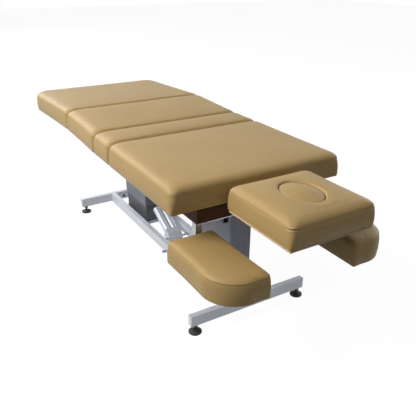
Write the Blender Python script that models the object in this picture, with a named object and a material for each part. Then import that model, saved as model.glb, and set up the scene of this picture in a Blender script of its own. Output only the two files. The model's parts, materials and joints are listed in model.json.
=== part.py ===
# Electric massage table: a four-section padded deck on a lifting pedestal.
# Units are metres and +Z is up. +Y runs from the head end to the foot end and
# X runs across the deck. While the pieces are made, y is zero at the head face
# of the back section; the last step moves the whole table so that the origin
# lies on the floor under the middle of its outer box.
import math

import bmesh
import bpy
from mathutils import Matrix, Vector

for leftover in list(bpy.data.objects):
    bpy.data.objects.remove(leftover, do_unlink=True)

# Clearances
FIT = 0.0003  # between faces that touch
RUNNING = 0.0005  # round a pin or shaft that turns or slides
OVERRUN = 0.010  # how far a cutter passes through what it cuts

# Facets on round shapes
ROUND = 24
SMALL_ROUND = 16

# Deck sections, from the head end to the foot end
DECK_WIDTH = 0.762
BACK_LENGTH = 0.560
SEAT_LENGTH = 0.168
THIGH_LENGTH = 0.369
FOOT_LENGTH = 0.6165
SECTION_GAP = 0.006
KNEE_GAP = 0.002
BOARD = 0.0117
BOARD_INSET = 0.006
CUSHION = 0.0814

# Cushion forms
EDGE_RADIUS = 0.028
CORNER_RADIUS = 0.035
FOOT_CORNER_RADIUS = 0.075
LOWER_ROLL = 0.006
CROWN = 0.006
DRAW_IN = 0.002
WAIST = 0.003
CORNER_STEPS = 5
SIDE_STEPS = 5
EDGE_STEPS = 3
CROWN_RING_SHARES = (0.86, 0.62, 0.32)

# Rest slopes of the two leg sections
THIGH_REST = math.radians(1.8)
FOOT_REST = math.radians(2.7)

# Headrest
HEADREST_WIDTH = 0.356
HEADREST_LENGTH = 0.348
HEADREST_SPACE = 0.034
HEADREST_DROP = 0.015
HEADREST_PAD = 0.080
PLUG_HALF_WIDTH = 0.068
PLUG_HALF_LENGTH = 0.093
PLUG_AHEAD = 0.004
PLUG_DOME = 0.006
PLUG_EDGE = 0.008
LEDGE = 0.008
POST_RADIUS = 0.008
POST_SPREAD = 0.220
POST_BEND = 0.020
POST_REACH = 0.065
POST_DEPTH = 0.140
POST_DROP = 0.020
SOCKET_WALL = 0.0032
SOCKET_START = 0.005
SOCKET_LENGTH = 0.165
SOCKET_TIE = 0.015
CLIP_HALF_WIDTH = 0.060
CLIP_WALL = 0.003
CLIP_HALF_LENGTH = 0.014

# Armrests
ARMREST_INNER = 0.184
ARMREST_WIDTH = 0.191
ARMREST_LENGTH = 0.360
ARMREST_OVERLAP = 0.045
ARMREST_TOP_DROP = 0.205
ARMREST_PAD = 0.080
ARMREST_BIG_RADIUS = 0.120
ARMREST_CORNER = 0.030
ARMREST_CROWN = 0.004
ARMREST_POST = 0.020
ARMREST_ARM_LENGTH = 0.280
ARMREST_POST_Y = 0.070
ARMREST_POST_HEIGHT = 0.160
SLEEVE_WALL = 0.0027
SLEEVE_LENGTH = 0.155
SLEEVE_TOP_GAP = 0.0056

# Apron of the back section
APRON_HALF_WIDTH = 0.270
APRON_DEPTH = 0.0644
APRON_BOARD = 0.019
APRON_START = 0.014
REAR_APRON = 0.033
APRON_REAR_SPACE = 0.012

# Chassis under the deck
CHASSIS_HEIGHT = 0.4466
CHASSIS_DEPTH = 0.050
CHASSIS_TUBE = 0.025
CHASSIS_SPREAD = 0.235
CHASSIS_START = 0.060
CHASSIS_OVERHANG = 0.050
TUBE_WALL = 0.002
SADDLE = 0.012
SEAT_TUBE_HALF = 0.270
SEAT_TUBE_WIDTH = 0.040
SEAT_TUBE_SETBACK = 0.014
OUTRIGGER_REACH = 0.075
CONTROL_LENGTH = 0.120
CONTROL_DEPTH = 0.060
CONTROL_SPACE = 0.056
CONTROL_CORNER = 0.012
INLET_WIDTH = 0.028
INLET_HEIGHT = 0.020
INLET_DEPTH = 0.016
INLET_WALL = 0.002
CONTACT = 0.003
CONTACT_LENGTH = 0.008

# Hinges between the sections
PIVOT_DROP = 0.020
PLATE = 0.006
PLATE_X = 0.2384
KNUCKLE = 0.009
EAR_NEAR_TURN = 60
EAR_FAR_TURN = 130
PIN_RADIUS = 0.004
PIN_HEAD = 0.0065
PIN_HEAD_DEPTH = 0.0015
EAR_BASE = 0.034
RUN_DEPTH = 0.0334
BACK_RUN = 0.115
LEVER_LENGTH = 0.180
LEVER_HALF_WIDTH = 0.010
SLOT_SIDE = 0.0045
SLOT_DEPTH = 0.052
SLOT_ROOF = 0.0035
SLIDE_BAR_RADIUS = 0.010
SLIDE_BAR_REACH = 0.500
SLIDE_LUG = 0.020
THIGH_CHANNEL = 0.025
THIGH_CHANNEL_SETBACK = 0.075

# Gas struts
STRUT_RADIUS = 0.011
STRUT_BORE = 0.0056
ROD_RADIUS = 0.005
STRUT_EYE = 0.012
STRUT_STUD = 0.009
BACK_STRUT_X = 0.290
BACK_STRUT_SETBACK = 0.437
KNEE_STRUT_X = 0.220
KNEE_STRUT_SETBACK = 0.063
KNEE_STRUT_REACH = 0.293
STRUT_OVERLAP = 0.020
STRUT_FREE_ROD = 0.020

# Ranges that the struts have to reach through
BACK_TILT = math.radians(70)
THIGH_TILT = math.radians(27)

# Pedestal
BAR_HALF_LENGTH = 0.2824
BAR_WIDTH = 0.0247
BAR_DEPTH = 0.0466
FRONT_BAR_Y = 0.0344
REAR_BAR_Y = 1.3152
RAIL_INNER = 0.076
CAP = 0.002
CAP_PLUG = 0.012
FOOT_HEIGHT = 0.039
FOOT_RADIUS = 0.027
FOOT_DISC = 0.007
FOOT_INSET = 0.0238
STEM_RADIUS = 0.005
STEM_RISE = 0.020
NUT_RADIUS = 0.0105
NUT_DEPTH = 0.010
TIE_ROD_RADIUS = 0.007
TIE_ROD_HALF_LENGTH = 0.125
TIE_ROD_Y = 0.600

# Lifting columns
COLUMN_HALF_WIDTH = 0.050
COLUMN_LENGTH = 0.259
FRONT_COLUMN_Y = 0.2545
REAR_COLUMN_Y = 1.075
SHROUD_WALL = 0.003
SHROUD_HEIGHT = 0.140
INNER_CLEARANCE = 0.003
INNER_HEIGHT = 0.310
BASE_PLATE = 0.005
BASE_PLATE_MARGIN = 0.015
GLIDE_LENGTH = 0.040

# Lift actuator, leaning between the rails against the rear column
ACTUATOR_BASE_Y = 0.705
ACTUATOR_BASE_Z = 0.052
ACTUATOR_TOP_SPACE = 0.0215
ACTUATOR_TOP_Z = 0.172
ACTUATOR_TUBE = 0.0187
ACTUATOR_PIN = 0.006
ACTUATOR_EYE = 0.015
GEARBOX_HALF_DEPTH = 0.025
GEARBOX_NECK = 0.018
GEARBOX_LENGTH = 0.045
MOTOR_TUBE_LENGTH = 0.155
MOTOR_TUBE_EDGE = 0.004
SPINDLE_TUBE_LENGTH = 0.145
ACTUATOR_ROD = 0.010
ACTUATOR_ROD_HIDDEN = 0.117
ROD_EYE = 0.011
ROD_EYE_HALF_WIDTH = 0.009
BRACKET_EAR = 0.006
BRACKET_PLATE = 0.003
BRACKET_SPACE = 0.001
BRACKET_HALF_DEPTH = 0.013
BOLT_HEAD = 0.009
BOLT_HEAD_DEPTH = 0.005

# Heights that follow from the stack, floor to cushion
chassis_top = CHASSIS_HEIGHT + CHASSIS_DEPTH
apron_low = chassis_top + FIT
apron_top = apron_low + APRON_DEPTH
board_low = apron_top + FIT
board_top = board_low + BOARD
pad_low = board_top + FIT
pad_top = pad_low + CUSHION
hinge_z = pad_top - PIVOT_DROP
saddle_low = chassis_top - SADDLE
shroud_top = saddle_low - FIT
rail_inner_x = CHASSIS_SPREAD / 2 - CHASSIS_TUBE / 2
rail_outer_x = rail_inner_x + CHASSIS_TUBE
deck_half = DECK_WIDTH / 2

# Section ends along the deck
seat_start = BACK_LENGTH + SECTION_GAP
seat_end = seat_start + SEAT_LENGTH
thigh_start = seat_end + SECTION_GAP
thigh_end = thigh_start + THIGH_LENGTH
foot_start = thigh_end + KNEE_GAP
foot_end = foot_start + FOOT_LENGTH
back_hinge_y = BACK_LENGTH + SECTION_GAP / 2
thigh_hinge_y = seat_end + SECTION_GAP / 2
knee_y = thigh_end + KNEE_GAP / 2
back_strut_y = back_hinge_y + BACK_STRUT_SETBACK
knee_strut_y = thigh_hinge_y + KNEE_STRUT_SETBACK
control_y = FRONT_COLUMN_Y + COLUMN_LENGTH / 2 + CONTROL_SPACE + CONTROL_LENGTH / 2
chassis_end = knee_y + SLIDE_BAR_REACH + CHASSIS_OVERHANG
run_top = board_low - FIT
knee_z = run_top - RUN_DEPTH / 2

# Hinge plate places across the deck: the inner and the outer plate of a pair
inner_plate = (PLATE_X, PLATE_X + PLATE)
outer_plate = (PLATE_X + PLATE + FIT, PLATE_X + 2 * PLATE + FIT)
slot_low_x = inner_plate[0] - SLOT_SIDE
slot_high_x = outer_plate[1] + SLOT_SIDE
apron_inner_x = APRON_HALF_WIDTH - APRON_BOARD

# Places of the lift actuator
actuator_base = (ACTUATOR_BASE_Y, ACTUATOR_BASE_Z)
rear_shroud_face = REAR_COLUMN_Y - COLUMN_LENGTH / 2
actuator_top = (rear_shroud_face - ACTUATOR_TOP_SPACE, ACTUATOR_TOP_Z)
actuator_rise = (actuator_top[0] - actuator_base[0], actuator_top[1] - actuator_base[1])
actuator_angle = math.atan2(actuator_rise[1], actuator_rise[0])
actuator_length = math.hypot(*actuator_rise)
tube_x = ACTUATOR_TUBE + FIT / 2
base_top = FOOT_HEIGHT + BAR_DEPTH


def material(name, colour, roughness, metallic=0.0):
    """A plain Principled material in the part's own colour."""
    made = bpy.data.materials.new(name)
    made.use_nodes = True
    shader = made.node_tree.nodes["Principled BSDF"]
    shader.inputs["Base Color"].default_value = (*colour, 1.0)
    shader.inputs["Roughness"].default_value = roughness
    shader.inputs["Metallic"].default_value = metallic
    return made


VINYL = ("tan_vinyl", (0.46, 0.33, 0.16), 0.40)
PLYWOOD = ("plywood", (0.55, 0.40, 0.24), 0.60)
BROWN = ("brown_apron", (0.06, 0.025, 0.008), 0.45)
SILVER = ("silver_paint", (0.62, 0.65, 0.72), 0.35)
GREY = ("grey_shroud", (0.11, 0.115, 0.14), 0.50)
DARK = ("dark_column", (0.06, 0.06, 0.065), 0.45)
BLACK = ("black_plastic", (0.012, 0.012, 0.013), 0.50)
STEEL = ("zinc_steel", (0.55, 0.56, 0.57), 0.35, 0.9)
CHROME = ("chrome_rod", (0.80, 0.80, 0.81), 0.10, 1.0)
NYLON = ("white_nylon", (0.75, 0.75, 0.72), 0.45)

# Bodies: one empty on each joint axis carries the pieces that move there
pivots = {}
empties = {}


def body(name, pivot, carrier=None, tilt=0.0):
    """Put an empty on a joint axis, carried by another body's empty."""
    empty = bpy.data.objects.new(name + "_axis", None)
    bpy.context.collection.objects.link(empty)
    pivots[name] = Vector(pivot)
    empties[name] = empty
    if carrier:
        empty.parent = empties[carrier]
        empty.location = pivots[name] - pivots[carrier]
    else:
        empty.location = pivots[name]
    empty.rotation_euler.x = tilt
    return empty


def piece(name, where, finish, build, *details):
    """Make one named sub-part from a function that fills a bmesh."""
    mesh = bpy.data.meshes.new(name)
    bm = bmesh.new()
    build(bm, *details)
    bmesh.ops.recalc_face_normals(bm, faces=bm.faces)
    bm.to_mesh(mesh)
    bm.free()
    mesh.shade_smooth()
    mesh.set_sharp_from_angle(angle=math.radians(35))
    mesh.materials.append(bpy.data.materials.get(finish[0]) or material(*finish))
    made = bpy.data.objects.new(name, mesh)
    bpy.context.collection.objects.link(made)
    made.parent = empties[where]
    made.location = -pivots[where]
    return made


def combine(target, where, operation, build, *details):
    """Cut a piece with a hidden solid, or join the solid to it."""
    helper = piece(f"{target.name}_helper_{len(target.modifiers)}", where, STEEL, build, *details)
    helper.hide_render = True
    helper.display_type = "WIRE"
    made = target.modifiers.new("combine", "BOOLEAN")
    made.operation = operation
    made.object = helper


def cut(target, where, build, *details):
    """Cut a piece with a hidden solid that is carried with it."""
    combine(target, where, "DIFFERENCE", build, *details)


def fuse(target, where, build, *details):
    """Join a hidden solid to a piece as one body."""
    combine(target, where, "UNION", build, *details)


def circle(centre, radius, sides=ROUND, start=0.0):
    """Points round a circle in a flat outline."""
    turns = [start + 2 * math.pi * step / sides for step in range(sides)]
    return [(centre[0] + radius * math.cos(turn), centre[1] + radius * math.sin(turn)) for turn in turns]


def arc(centre, radius, start, end, steps):
    """Points along an arc, both ends included, angles in degrees."""
    points = []
    for step in range(steps + 1):
        turn = math.radians(start + (end - start) * step / steps)
        points.append((centre[0] + radius * math.cos(turn), centre[1] + radius * math.sin(turn)))
    return points


def rectangle(low, high):
    """The four corners of a flat rectangle."""
    return [(low[0], low[1]), (high[0], low[1]), (high[0], high[1]), (low[0], high[1])]


def spot(axis, along, point):
    """A point of a flat outline, set at a place along the axis it faces."""
    if axis == "X":
        return Vector((along, point[0], point[1]))
    if axis == "Y":
        return Vector((point[0], along, point[1]))
    return Vector((point[0], point[1], along))


def prism(bm, axis, outline, low, high, holes=()):
    """Extrude a flat outline, with any holes, along an axis."""
    edges = []
    for loop in (outline, *holes):
        corners = [bm.verts.new(spot(axis, low, point)) for point in loop]
        for corner, following in zip(corners, corners[1:] + corners[:1]):
            edges.append(bm.edges.new((corner, following)))
    filled = bmesh.ops.triangle_fill(bm, use_beauty=True, edges=edges)
    faces = [item for item in filled["geom"] if isinstance(item, bmesh.types.BMFace)]
    grown = bmesh.ops.extrude_face_region(bm, geom=faces)
    raised = [item for item in grown["geom"] if isinstance(item, bmesh.types.BMVert)]
    bmesh.ops.translate(bm, verts=raised, vec=spot(axis, high - low, (0.0, 0.0)))
    return raised


def block(bm, low, high):
    """A plain solid between two corners."""
    prism(bm, "Z", rectangle(low[:2], high[:2]), low[2], high[2])


def box_tube(bm, axis, low, high, start, end, wall):
    """A rectangular tube, open at both ends."""
    bore = rectangle((low[0] + wall, low[1] + wall), (high[0] - wall, high[1] - wall))
    prism(bm, axis, rectangle(low, high), start, end, [bore])


def turned(bm, axis, centre, profile, sides=ROUND):
    """A solid of revolution from (radius, place along the axis) pairs."""
    rings = []
    for radius, along in profile:
        points = circle(centre, radius, sides) if radius > 0 else [centre]
        rings.append([bm.verts.new(spot(axis, along, point)) for point in points])
    join_rings(bm, rings)


def join_rings(bm, rings):
    """Skin a row of rings; a ring of one vertex is a pole, an open end is capped."""
    for ring, following in zip(rings, rings[1:]):
        count = max(len(ring), len(following))
        for step in range(count):
            after = (step + 1) % count
            corners = [ring[step % len(ring)], ring[after % len(ring)]]
            corners += [following[after % len(following)], following[step % len(following)]]
            kept = list(dict.fromkeys(corners))
            bm.faces.new(kept)
    for ring in (rings[0], rings[-1]):
        if len(ring) > 1:
            bm.faces.new(ring)


def both_sides(build, *details):
    """Build a shape on the right side and its mirror image on the left."""

    def mirrored(bm):
        for side in (1, -1):
            build(bm, side, *details)

    return mirrored


def span(side, low, high):
    """A stretch across the deck on one side, in rising order."""
    return (low, high) if side > 0 else (-high, -low)


def sloped(bm, start, pivot, angle):
    """Turn the vertices made since a count about an axis along X."""
    bm.verts.ensure_lookup_table()
    moved = bm.verts[start:]
    turn = Matrix.Rotation(angle, 3, "X")
    bmesh.ops.rotate(bm, verts=moved, cent=pivot, matrix=turn)


def cushion_ring(low, high, radii, inset):
    """One level of a cushion: rounded corners and sides that pull in between them."""
    corners = (
        (high[0], high[1], -1, -1, 0, radii[0]),
        (low[0], high[1], 1, -1, 90, radii[1]),
        (low[0], low[1], 1, 1, 180, radii[2]),
        (high[0], low[1], -1, 1, 270, radii[3]),
    )
    points = []
    for index, (x, y, to_x, to_y, start, radius) in enumerate(corners):
        centre = (x + to_x * radius, y + to_y * radius)
        points += arc(centre, radius - inset, start, start + 90, CORNER_STEPS)
        ahead = corners[(index + 1) % 4]
        next_centre = (ahead[0] + ahead[2] * ahead[5], ahead[1] + ahead[3] * ahead[5])
        turn = math.radians(start + 90)
        outward = (math.cos(turn), math.sin(turn))
        begin = (centre[0] + (radius - inset) * outward[0], centre[1] + (radius - inset) * outward[1])
        finish = (
            next_centre[0] + (ahead[5] - inset) * outward[0],
            next_centre[1] + (ahead[5] - inset) * outward[1],
        )
        for step in range(1, SIDE_STEPS + 1):
            share = step / (SIDE_STEPS + 1)
            pull = DRAW_IN * math.sin(math.pi * share)
            points.append(
                (
                    begin[0] + (finish[0] - begin[0]) * share - outward[0] * pull,
                    begin[1] + (finish[1] - begin[1]) * share - outward[1] * pull,
                )
            )
    return points


def cushion(bm, low, high, bottom, top, radii, crown, hole=None):
    """A crowned pad: rolled lower edge, waisted side, round upper edge, domed top."""
    levels = [(LOWER_ROLL, bottom), (0.0, bottom + LOWER_ROLL), (WAIST, (bottom + top - EDGE_RADIUS) / 2)]
    for step in range(EDGE_STEPS + 1):
        turn = math.pi / 2 * step / EDGE_STEPS
        levels.append((EDGE_RADIUS * (1 - math.cos(turn)), top - EDGE_RADIUS * (1 - math.sin(turn))))
    flat = [(cushion_ring(low, high, radii, inset), height) for inset, height in levels]
    rim = flat[-1][0]
    middle = ((low[0] + high[0]) / 2, (low[1] + high[1]) / 2)
    target = hole or [middle] * len(rim)
    for share in CROWN_RING_SHARES:
        level = top + crown * (1 - share * share)
        ring = [(end[0] + (edge[0] - end[0]) * share, end[1] + (edge[1] - end[1]) * share)
                for edge, end in zip(rim, target)]
        flat.append((ring, level))
    rings = [[bm.verts.new((x, y, height)) for x, y in ring] for ring, height in flat]
    if hole:
        rings.append([bm.verts.new((x, y, top + crown)) for x, y in target])
        rings.append([bm.verts.new((x, y, bottom)) for x, y in target])
        rings.append(rings[0])
        skin(bm, rings)
    else:
        rings.append([bm.verts.new((*middle, top + crown))])
        join_rings(bm, rings)


def skin(bm, rings):
    """Skin a closed run of rings of the same count."""
    for ring, following in zip(rings, rings[1:]):
        for step in range(len(ring)):
            after = (step + 1) % len(ring)
            bm.faces.new((ring[step], ring[after], following[after], following[step]))


def section_pad(bm, start, end, radii=(CORNER_RADIUS,) * 4):
    """The pad of one deck section."""
    cushion(bm, (-deck_half, start), (deck_half, end), pad_low, pad_top, radii, CROWN)


def pockets(bm, start, end):
    """Slots in a pad's end for the hinge plates, on both sides."""
    roof = hinge_z + KNUCKLE + SLOT_ROOF
    for side in (1, -1):
        x_low, x_high = span(side, slot_low_x, slot_high_x)
        block(bm, (x_low, start, pad_low - OVERRUN), (x_high, end, roof))


def board(bm, start, end, head_slots=(), foot_slots=(), head_radius=CORNER_RADIUS, foot_radius=CORNER_RADIUS):
    """A plywood board with notches in its head or foot edge for the hinge plates."""
    half = deck_half - BOARD_INSET
    low, high = start + BOARD_INSET, end - BOARD_INSET
    near, far = head_radius - BOARD_INSET, foot_radius - BOARD_INSET
    outline = arc((-half + near, low + near), near, 180, 270, CORNER_STEPS)
    for x_low, x_high in sorted(head_slots):
        outline += [(x_low, low), (x_low, start + SLOT_DEPTH), (x_high, start + SLOT_DEPTH), (x_high, low)]
    outline += arc((half - near, low + near), near, 270, 360, CORNER_STEPS)
    outline += arc((half - far, high - far), far, 0, 90, CORNER_STEPS)
    for x_low, x_high in sorted(foot_slots, reverse=True):
        outline += [(x_high, high), (x_high, end - SLOT_DEPTH), (x_low, end - SLOT_DEPTH), (x_low, high)]
    outline += arc((far - half, high - far), far, 90, 180, CORNER_STEPS)
    prism(bm, "Z", outline, board_low, board_top)


# Pedestal pieces


def foot_bar(bm, start):
    """A cross bar of the pedestal, laid on edge."""
    half = BAR_HALF_LENGTH - CAP
    box_tube(bm, "X", (start, FOOT_HEIGHT), (start + BAR_WIDTH, base_top), -half, half, TUBE_WALL)


def end_caps(bm, start):
    """The caps that close both ends of a foot bar."""
    for side in (1, -1):
        x_low, x_high = span(side, BAR_HALF_LENGTH - 2 * CAP, BAR_HALF_LENGTH)
        block(bm, (x_low, start, FOOT_HEIGHT), (x_high, start + BAR_WIDTH, base_top))


def foot_centres():
    """Where the four levelling feet stand."""
    x = BAR_HALF_LENGTH - FOOT_INSET
    places = {}
    for end, start in (("front", FRONT_BAR_Y), ("rear", REAR_BAR_Y)):
        for side_name, side in (("left", -1), ("right", 1)):
            places[end + "_" + side_name] = (side * x, start + BAR_WIDTH / 2)
    return places


def stem_holes(bm, start):
    """Holes in a foot bar's underside for its two levelling stems."""
    for x, y in foot_centres().values():
        if abs(y - start) < BAR_WIDTH:
            outline = circle((x, y), STEM_RADIUS + RUNNING, SMALL_ROUND)
            prism(bm, "Z", outline, FOOT_HEIGHT - OVERRUN, FOOT_HEIGHT + OVERRUN)


def base_rail(bm, side):
    """One of the two long tubes that join the foot bars."""
    x_low, x_high = span(side, RAIL_INNER, RAIL_INNER + BAR_WIDTH)
    start, end = FRONT_BAR_Y + BAR_WIDTH + FIT, REAR_BAR_Y - FIT
    box_tube(bm, "Y", (x_low, FOOT_HEIGHT), (x_high, base_top), start, end, TUBE_WALL)


def levelling_foot(bm, centre):
    """A wide disc on a threaded stem, with its nut under the bar."""
    nut_top = FOOT_HEIGHT - FIT
    nut_low = nut_top - NUT_DEPTH
    disc = FOOT_DISC
    profile = [
        (0.0, 0.0),
        (FOOT_RADIUS - disc / 4, 0.0),
        (FOOT_RADIUS, disc / 4),
        (FOOT_RADIUS, disc),
        (NUT_RADIUS, 2 * disc),
        (STEM_RADIUS, 2 * disc),
        (STEM_RADIUS, nut_low),
        (NUT_RADIUS, nut_low),
        (NUT_RADIUS, nut_top),
        (STEM_RADIUS, nut_top),
        (STEM_RADIUS, FOOT_HEIGHT + STEM_RISE),
        (0.0, FOOT_HEIGHT + STEM_RISE),
    ]
    turned(bm, "Z", centre, profile)


def base_plate(bm, y):
    """The plate between the rails at the foot of a column."""
    half_x = RAIL_INNER - FIT
    half_y = COLUMN_LENGTH / 2 + BASE_PLATE_MARGIN
    block(bm, (-half_x, y - half_y, FOOT_HEIGHT), (half_x, y + half_y, FOOT_HEIGHT + BASE_PLATE))


inner_shrink = SHROUD_WALL + INNER_CLEARANCE


def inner_column(bm, y):
    """The fixed box that the shroud slides over, welded to its plate."""
    half_x = COLUMN_HALF_WIDTH - inner_shrink
    half_y = COLUMN_LENGTH / 2 - inner_shrink
    low, high = (-half_x, y - half_y), (half_x, y + half_y)
    start = FOOT_HEIGHT + BASE_PLATE / 2
    box_tube(bm, "Z", low, high, start, start + INNER_HEIGHT, SHROUD_WALL)


def shroud(bm, y):
    """The outer box that rises with the deck."""
    half_y = COLUMN_LENGTH / 2
    low, high = (-COLUMN_HALF_WIDTH, y - half_y), (COLUMN_HALF_WIDTH, y + half_y)
    box_tube(bm, "Z", low, high, SHROUD_HEIGHT, saddle_low + SADDLE / 2, SHROUD_WALL)


def saddle(bm, y):
    """The plate between the chassis rails that closes the top of a shroud."""
    half_x = rail_inner_x - FIT
    half_y = COLUMN_LENGTH / 2
    block(bm, (-half_x, y - half_y, saddle_low), (half_x, y + half_y, chassis_top))


def glide_ring(bm, y):
    """The nylon collar in a shroud's lower end that runs on the inner column."""
    wall = INNER_CLEARANCE - 2 * FIT
    half_x = COLUMN_HALF_WIDTH - SHROUD_WALL - FIT
    half_y = COLUMN_LENGTH / 2 - SHROUD_WALL - FIT
    low, high = (-half_x, y - half_y), (half_x, y + half_y)
    box_tube(bm, "Z", low, high, SHROUD_HEIGHT, SHROUD_HEIGHT + GLIDE_LENGTH, wall)


def tie_rod_outline(gap):
    """The round outline of the rod that ties the two rails."""
    return circle((TIE_ROD_Y, ACTUATOR_BASE_Z), TIE_ROD_RADIUS + gap, SMALL_ROUND)


def tie_rod(bm, gap=0.0):
    """The rod through both rails, or with a gap the hole for it."""
    prism(bm, "X", tie_rod_outline(gap), -TIE_ROD_HALF_LENGTH, TIE_ROD_HALF_LENGTH)


# Lift actuator pieces, built level from the base pin and then sloped about it


def gearbox(bm):
    """The geared foot of the actuator, with its eye round the base pin."""
    y, z = actuator_base
    half = GEARBOX_HALF_DEPTH
    outline = arc(actuator_base, ACTUATOR_EYE, 90, 270, SMALL_ROUND // 2)
    outline += [(y + GEARBOX_NECK, z - half), (y + GEARBOX_LENGTH, z - half)]
    outline += [(y + GEARBOX_LENGTH, z + half), (y + GEARBOX_NECK, z + half)]
    width = tube_x + ACTUATOR_TUBE
    prism(bm, "X", outline, -width, width, [circle(actuator_base, ACTUATOR_PIN + RUNNING, SMALL_ROUND)])
    sloped(bm, 0, (0.0, *actuator_base), actuator_angle)


def base_pin(bm):
    """The pin between the rails that the actuator swings on."""
    half = RAIL_INNER - FIT
    prism(bm, "X", circle(actuator_base, ACTUATOR_PIN, SMALL_ROUND), -half, half)


def motor_tube(bm):
    """The closed tube that holds the motor."""
    y, z = actuator_base
    start = y + GEARBOX_LENGTH + FIT
    end = start + MOTOR_TUBE_LENGTH
    edge = MOTOR_TUBE_EDGE
    profile = [(ACTUATOR_TUBE, start), (ACTUATOR_TUBE, end - edge), (ACTUATOR_TUBE - edge, end)]
    turned(bm, "Y", (-tube_x, z), profile)
    sloped(bm, 0, (0.0, *actuator_base), actuator_angle)


def spindle_tube(bm):
    """The tube that the actuator's rod runs in."""
    y, z = actuator_base
    start = y + GEARBOX_LENGTH + FIT
    centre = (tube_x, z)
    bore = circle(centre, ACTUATOR_ROD + RUNNING, SMALL_ROUND)
    prism(bm, "Y", circle(centre, ACTUATOR_TUBE), start, start + SPINDLE_TUBE_LENGTH, [bore])
    sloped(bm, 0, (0.0, *actuator_base), actuator_angle)


def actuator_rod(bm):
    """The rod, from inside its tube to its eye."""
    y, z = actuator_base
    end = y + actuator_length
    start = y + GEARBOX_LENGTH + SPINDLE_TUBE_LENGTH - ACTUATOR_ROD_HIDDEN
    profile = [(ACTUATOR_ROD, start), (ACTUATOR_ROD, end - ROD_EYE / 2)]
    turned(bm, "Y", (tube_x, z), profile, SMALL_ROUND)
    sloped(bm, 0, (0.0, *actuator_base), actuator_angle)


def rod_eye(bm):
    """The round eye on the end of the rod."""
    x_low, x_high = tube_x - ROD_EYE_HALF_WIDTH, tube_x + ROD_EYE_HALF_WIDTH
    prism(bm, "X", circle(actuator_top, ROD_EYE), x_low, x_high)


def bracket_plate(bm):
    """The back plate of the lift bracket, on the rear shroud."""
    half_x = ROD_EYE_HALF_WIDTH + BRACKET_SPACE + BRACKET_EAR
    half_z = BRACKET_HALF_DEPTH
    face = rear_shroud_face - FIT
    low = (tube_x - half_x, face - BRACKET_PLATE, ACTUATOR_TOP_Z - half_z)
    block(bm, low, (tube_x + half_x, face, ACTUATOR_TOP_Z + half_z))


def bracket_ears(bm):
    """Two ears of the lift bracket, with a bolt head on each, either side of the rod's eye."""
    z = ACTUATOR_TOP_Z
    half = BRACKET_HALF_DEPTH
    root = rear_shroud_face - BRACKET_PLATE / 2
    outline = arc(actuator_top, half, 90, 270, SMALL_ROUND // 2) + [(root, z - half), (root, z + half)]
    inner = ROD_EYE_HALF_WIDTH + BRACKET_SPACE
    outer = inner + BRACKET_EAR
    for side in (1, -1):
        x_low, x_high = span(side, inner, outer)
        prism(bm, "X", outline, tube_x + x_low, tube_x + x_high)


def bracket_bolt_heads(bm):
    """The bolt heads on the outer faces of the ears."""
    root = ROD_EYE_HALF_WIDTH + BRACKET_SPACE + BRACKET_EAR / 2
    for side in (1, -1):
        x_low, x_high = span(side, root, root + BRACKET_EAR / 2 + BOLT_HEAD_DEPTH)
        prism(bm, "X", circle(actuator_top, BOLT_HEAD, SMALL_ROUND // 2), tube_x + x_low, tube_x + x_high)


# Chassis pieces


def chassis_rail(bm, side):
    """One of the two long tubes that carry the deck."""
    x_low, x_high = span(side, rail_inner_x, rail_outer_x)
    low, high = (x_low, CHASSIS_HEIGHT), (x_high, chassis_top)
    box_tube(bm, "Y", low, high, CHASSIS_START, chassis_end, TUBE_WALL)


outrigger_z = CHASSIS_HEIGHT + CHASSIS_DEPTH / 2
stud_from = STRUT_EYE / 2 + STRUT_STUD
back_tube_y = back_hinge_y + SEAT_TUBE_SETBACK
thigh_tube_y = thigh_hinge_y - SEAT_TUBE_SETBACK - SEAT_TUBE_WIDTH


def outriggers(bm):
    """The two arms welded to the right rail that the gas struts push from."""
    half = CHASSIS_TUBE / 2
    for strut_x, y in ((BACK_STRUT_X, back_strut_y), (KNEE_STRUT_X, knee_strut_y)):
        low = (rail_outer_x - TUBE_WALL / 2, y - half, outrigger_z - half)
        block(bm, low, (strut_x - stud_from, y + half, outrigger_z + half))


def seat_tube(bm, y):
    """A tube across the chassis under the seat."""
    low, high = (y, apron_low), (y + SEAT_TUBE_WIDTH, apron_top)
    box_tube(bm, "X", low, high, -SEAT_TUBE_HALF, SEAT_TUBE_HALF, TUBE_WALL)


def control_box(bm):
    """The control unit, held between the chassis rails behind the front column."""
    half_x, half_y = rail_inner_x - FIT, CONTROL_LENGTH / 2
    outline = []
    for x, y, start in ((1, 1, 0), (-1, 1, 90), (-1, -1, 180), (1, -1, 270)):
        centre = (x * (half_x - CONTROL_CORNER), control_y + y * (half_y - CONTROL_CORNER))
        outline += arc(centre, CONTROL_CORNER, start, start + 90, SMALL_ROUND // 4)
    top = chassis_top - FIT
    prism(bm, "Z", outline, top - CONTROL_DEPTH, top)


inlet_face = control_y + CONTROL_LENGTH / 2
inlet_z = chassis_top - FIT - CONTROL_DEPTH / 2


def inlet_block(bm, shrink, start, end):
    """A block on the axis of the inlet, smaller than its pocket by a margin all round."""
    half_x = INLET_WIDTH / 2 - shrink
    half_z = INLET_HEIGHT / 2 - shrink
    block(bm, (-half_x, start, inlet_z - half_z), (half_x, end, inlet_z + half_z))


def inlet_contacts(bm):
    """Three flat contacts on the floor of the inlet."""
    floor = inlet_face - INLET_DEPTH + INLET_WALL / 2
    half = CONTACT / 2
    for step, rise in ((-1, 0.0), (0, CONTACT), (1, 0.0)):
        x, z = step * 2 * CONTACT, inlet_z + rise
        block(bm, (x - half, floor, z - half), (x + half, floor + CONTACT_LENGTH, z + half))


# Hinge pieces


def pin_hole(y, z, radius=PIN_RADIUS):
    """A running hole for a hinge pin."""
    return circle((y, z), radius + RUNNING, SMALL_ROUND)


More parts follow.
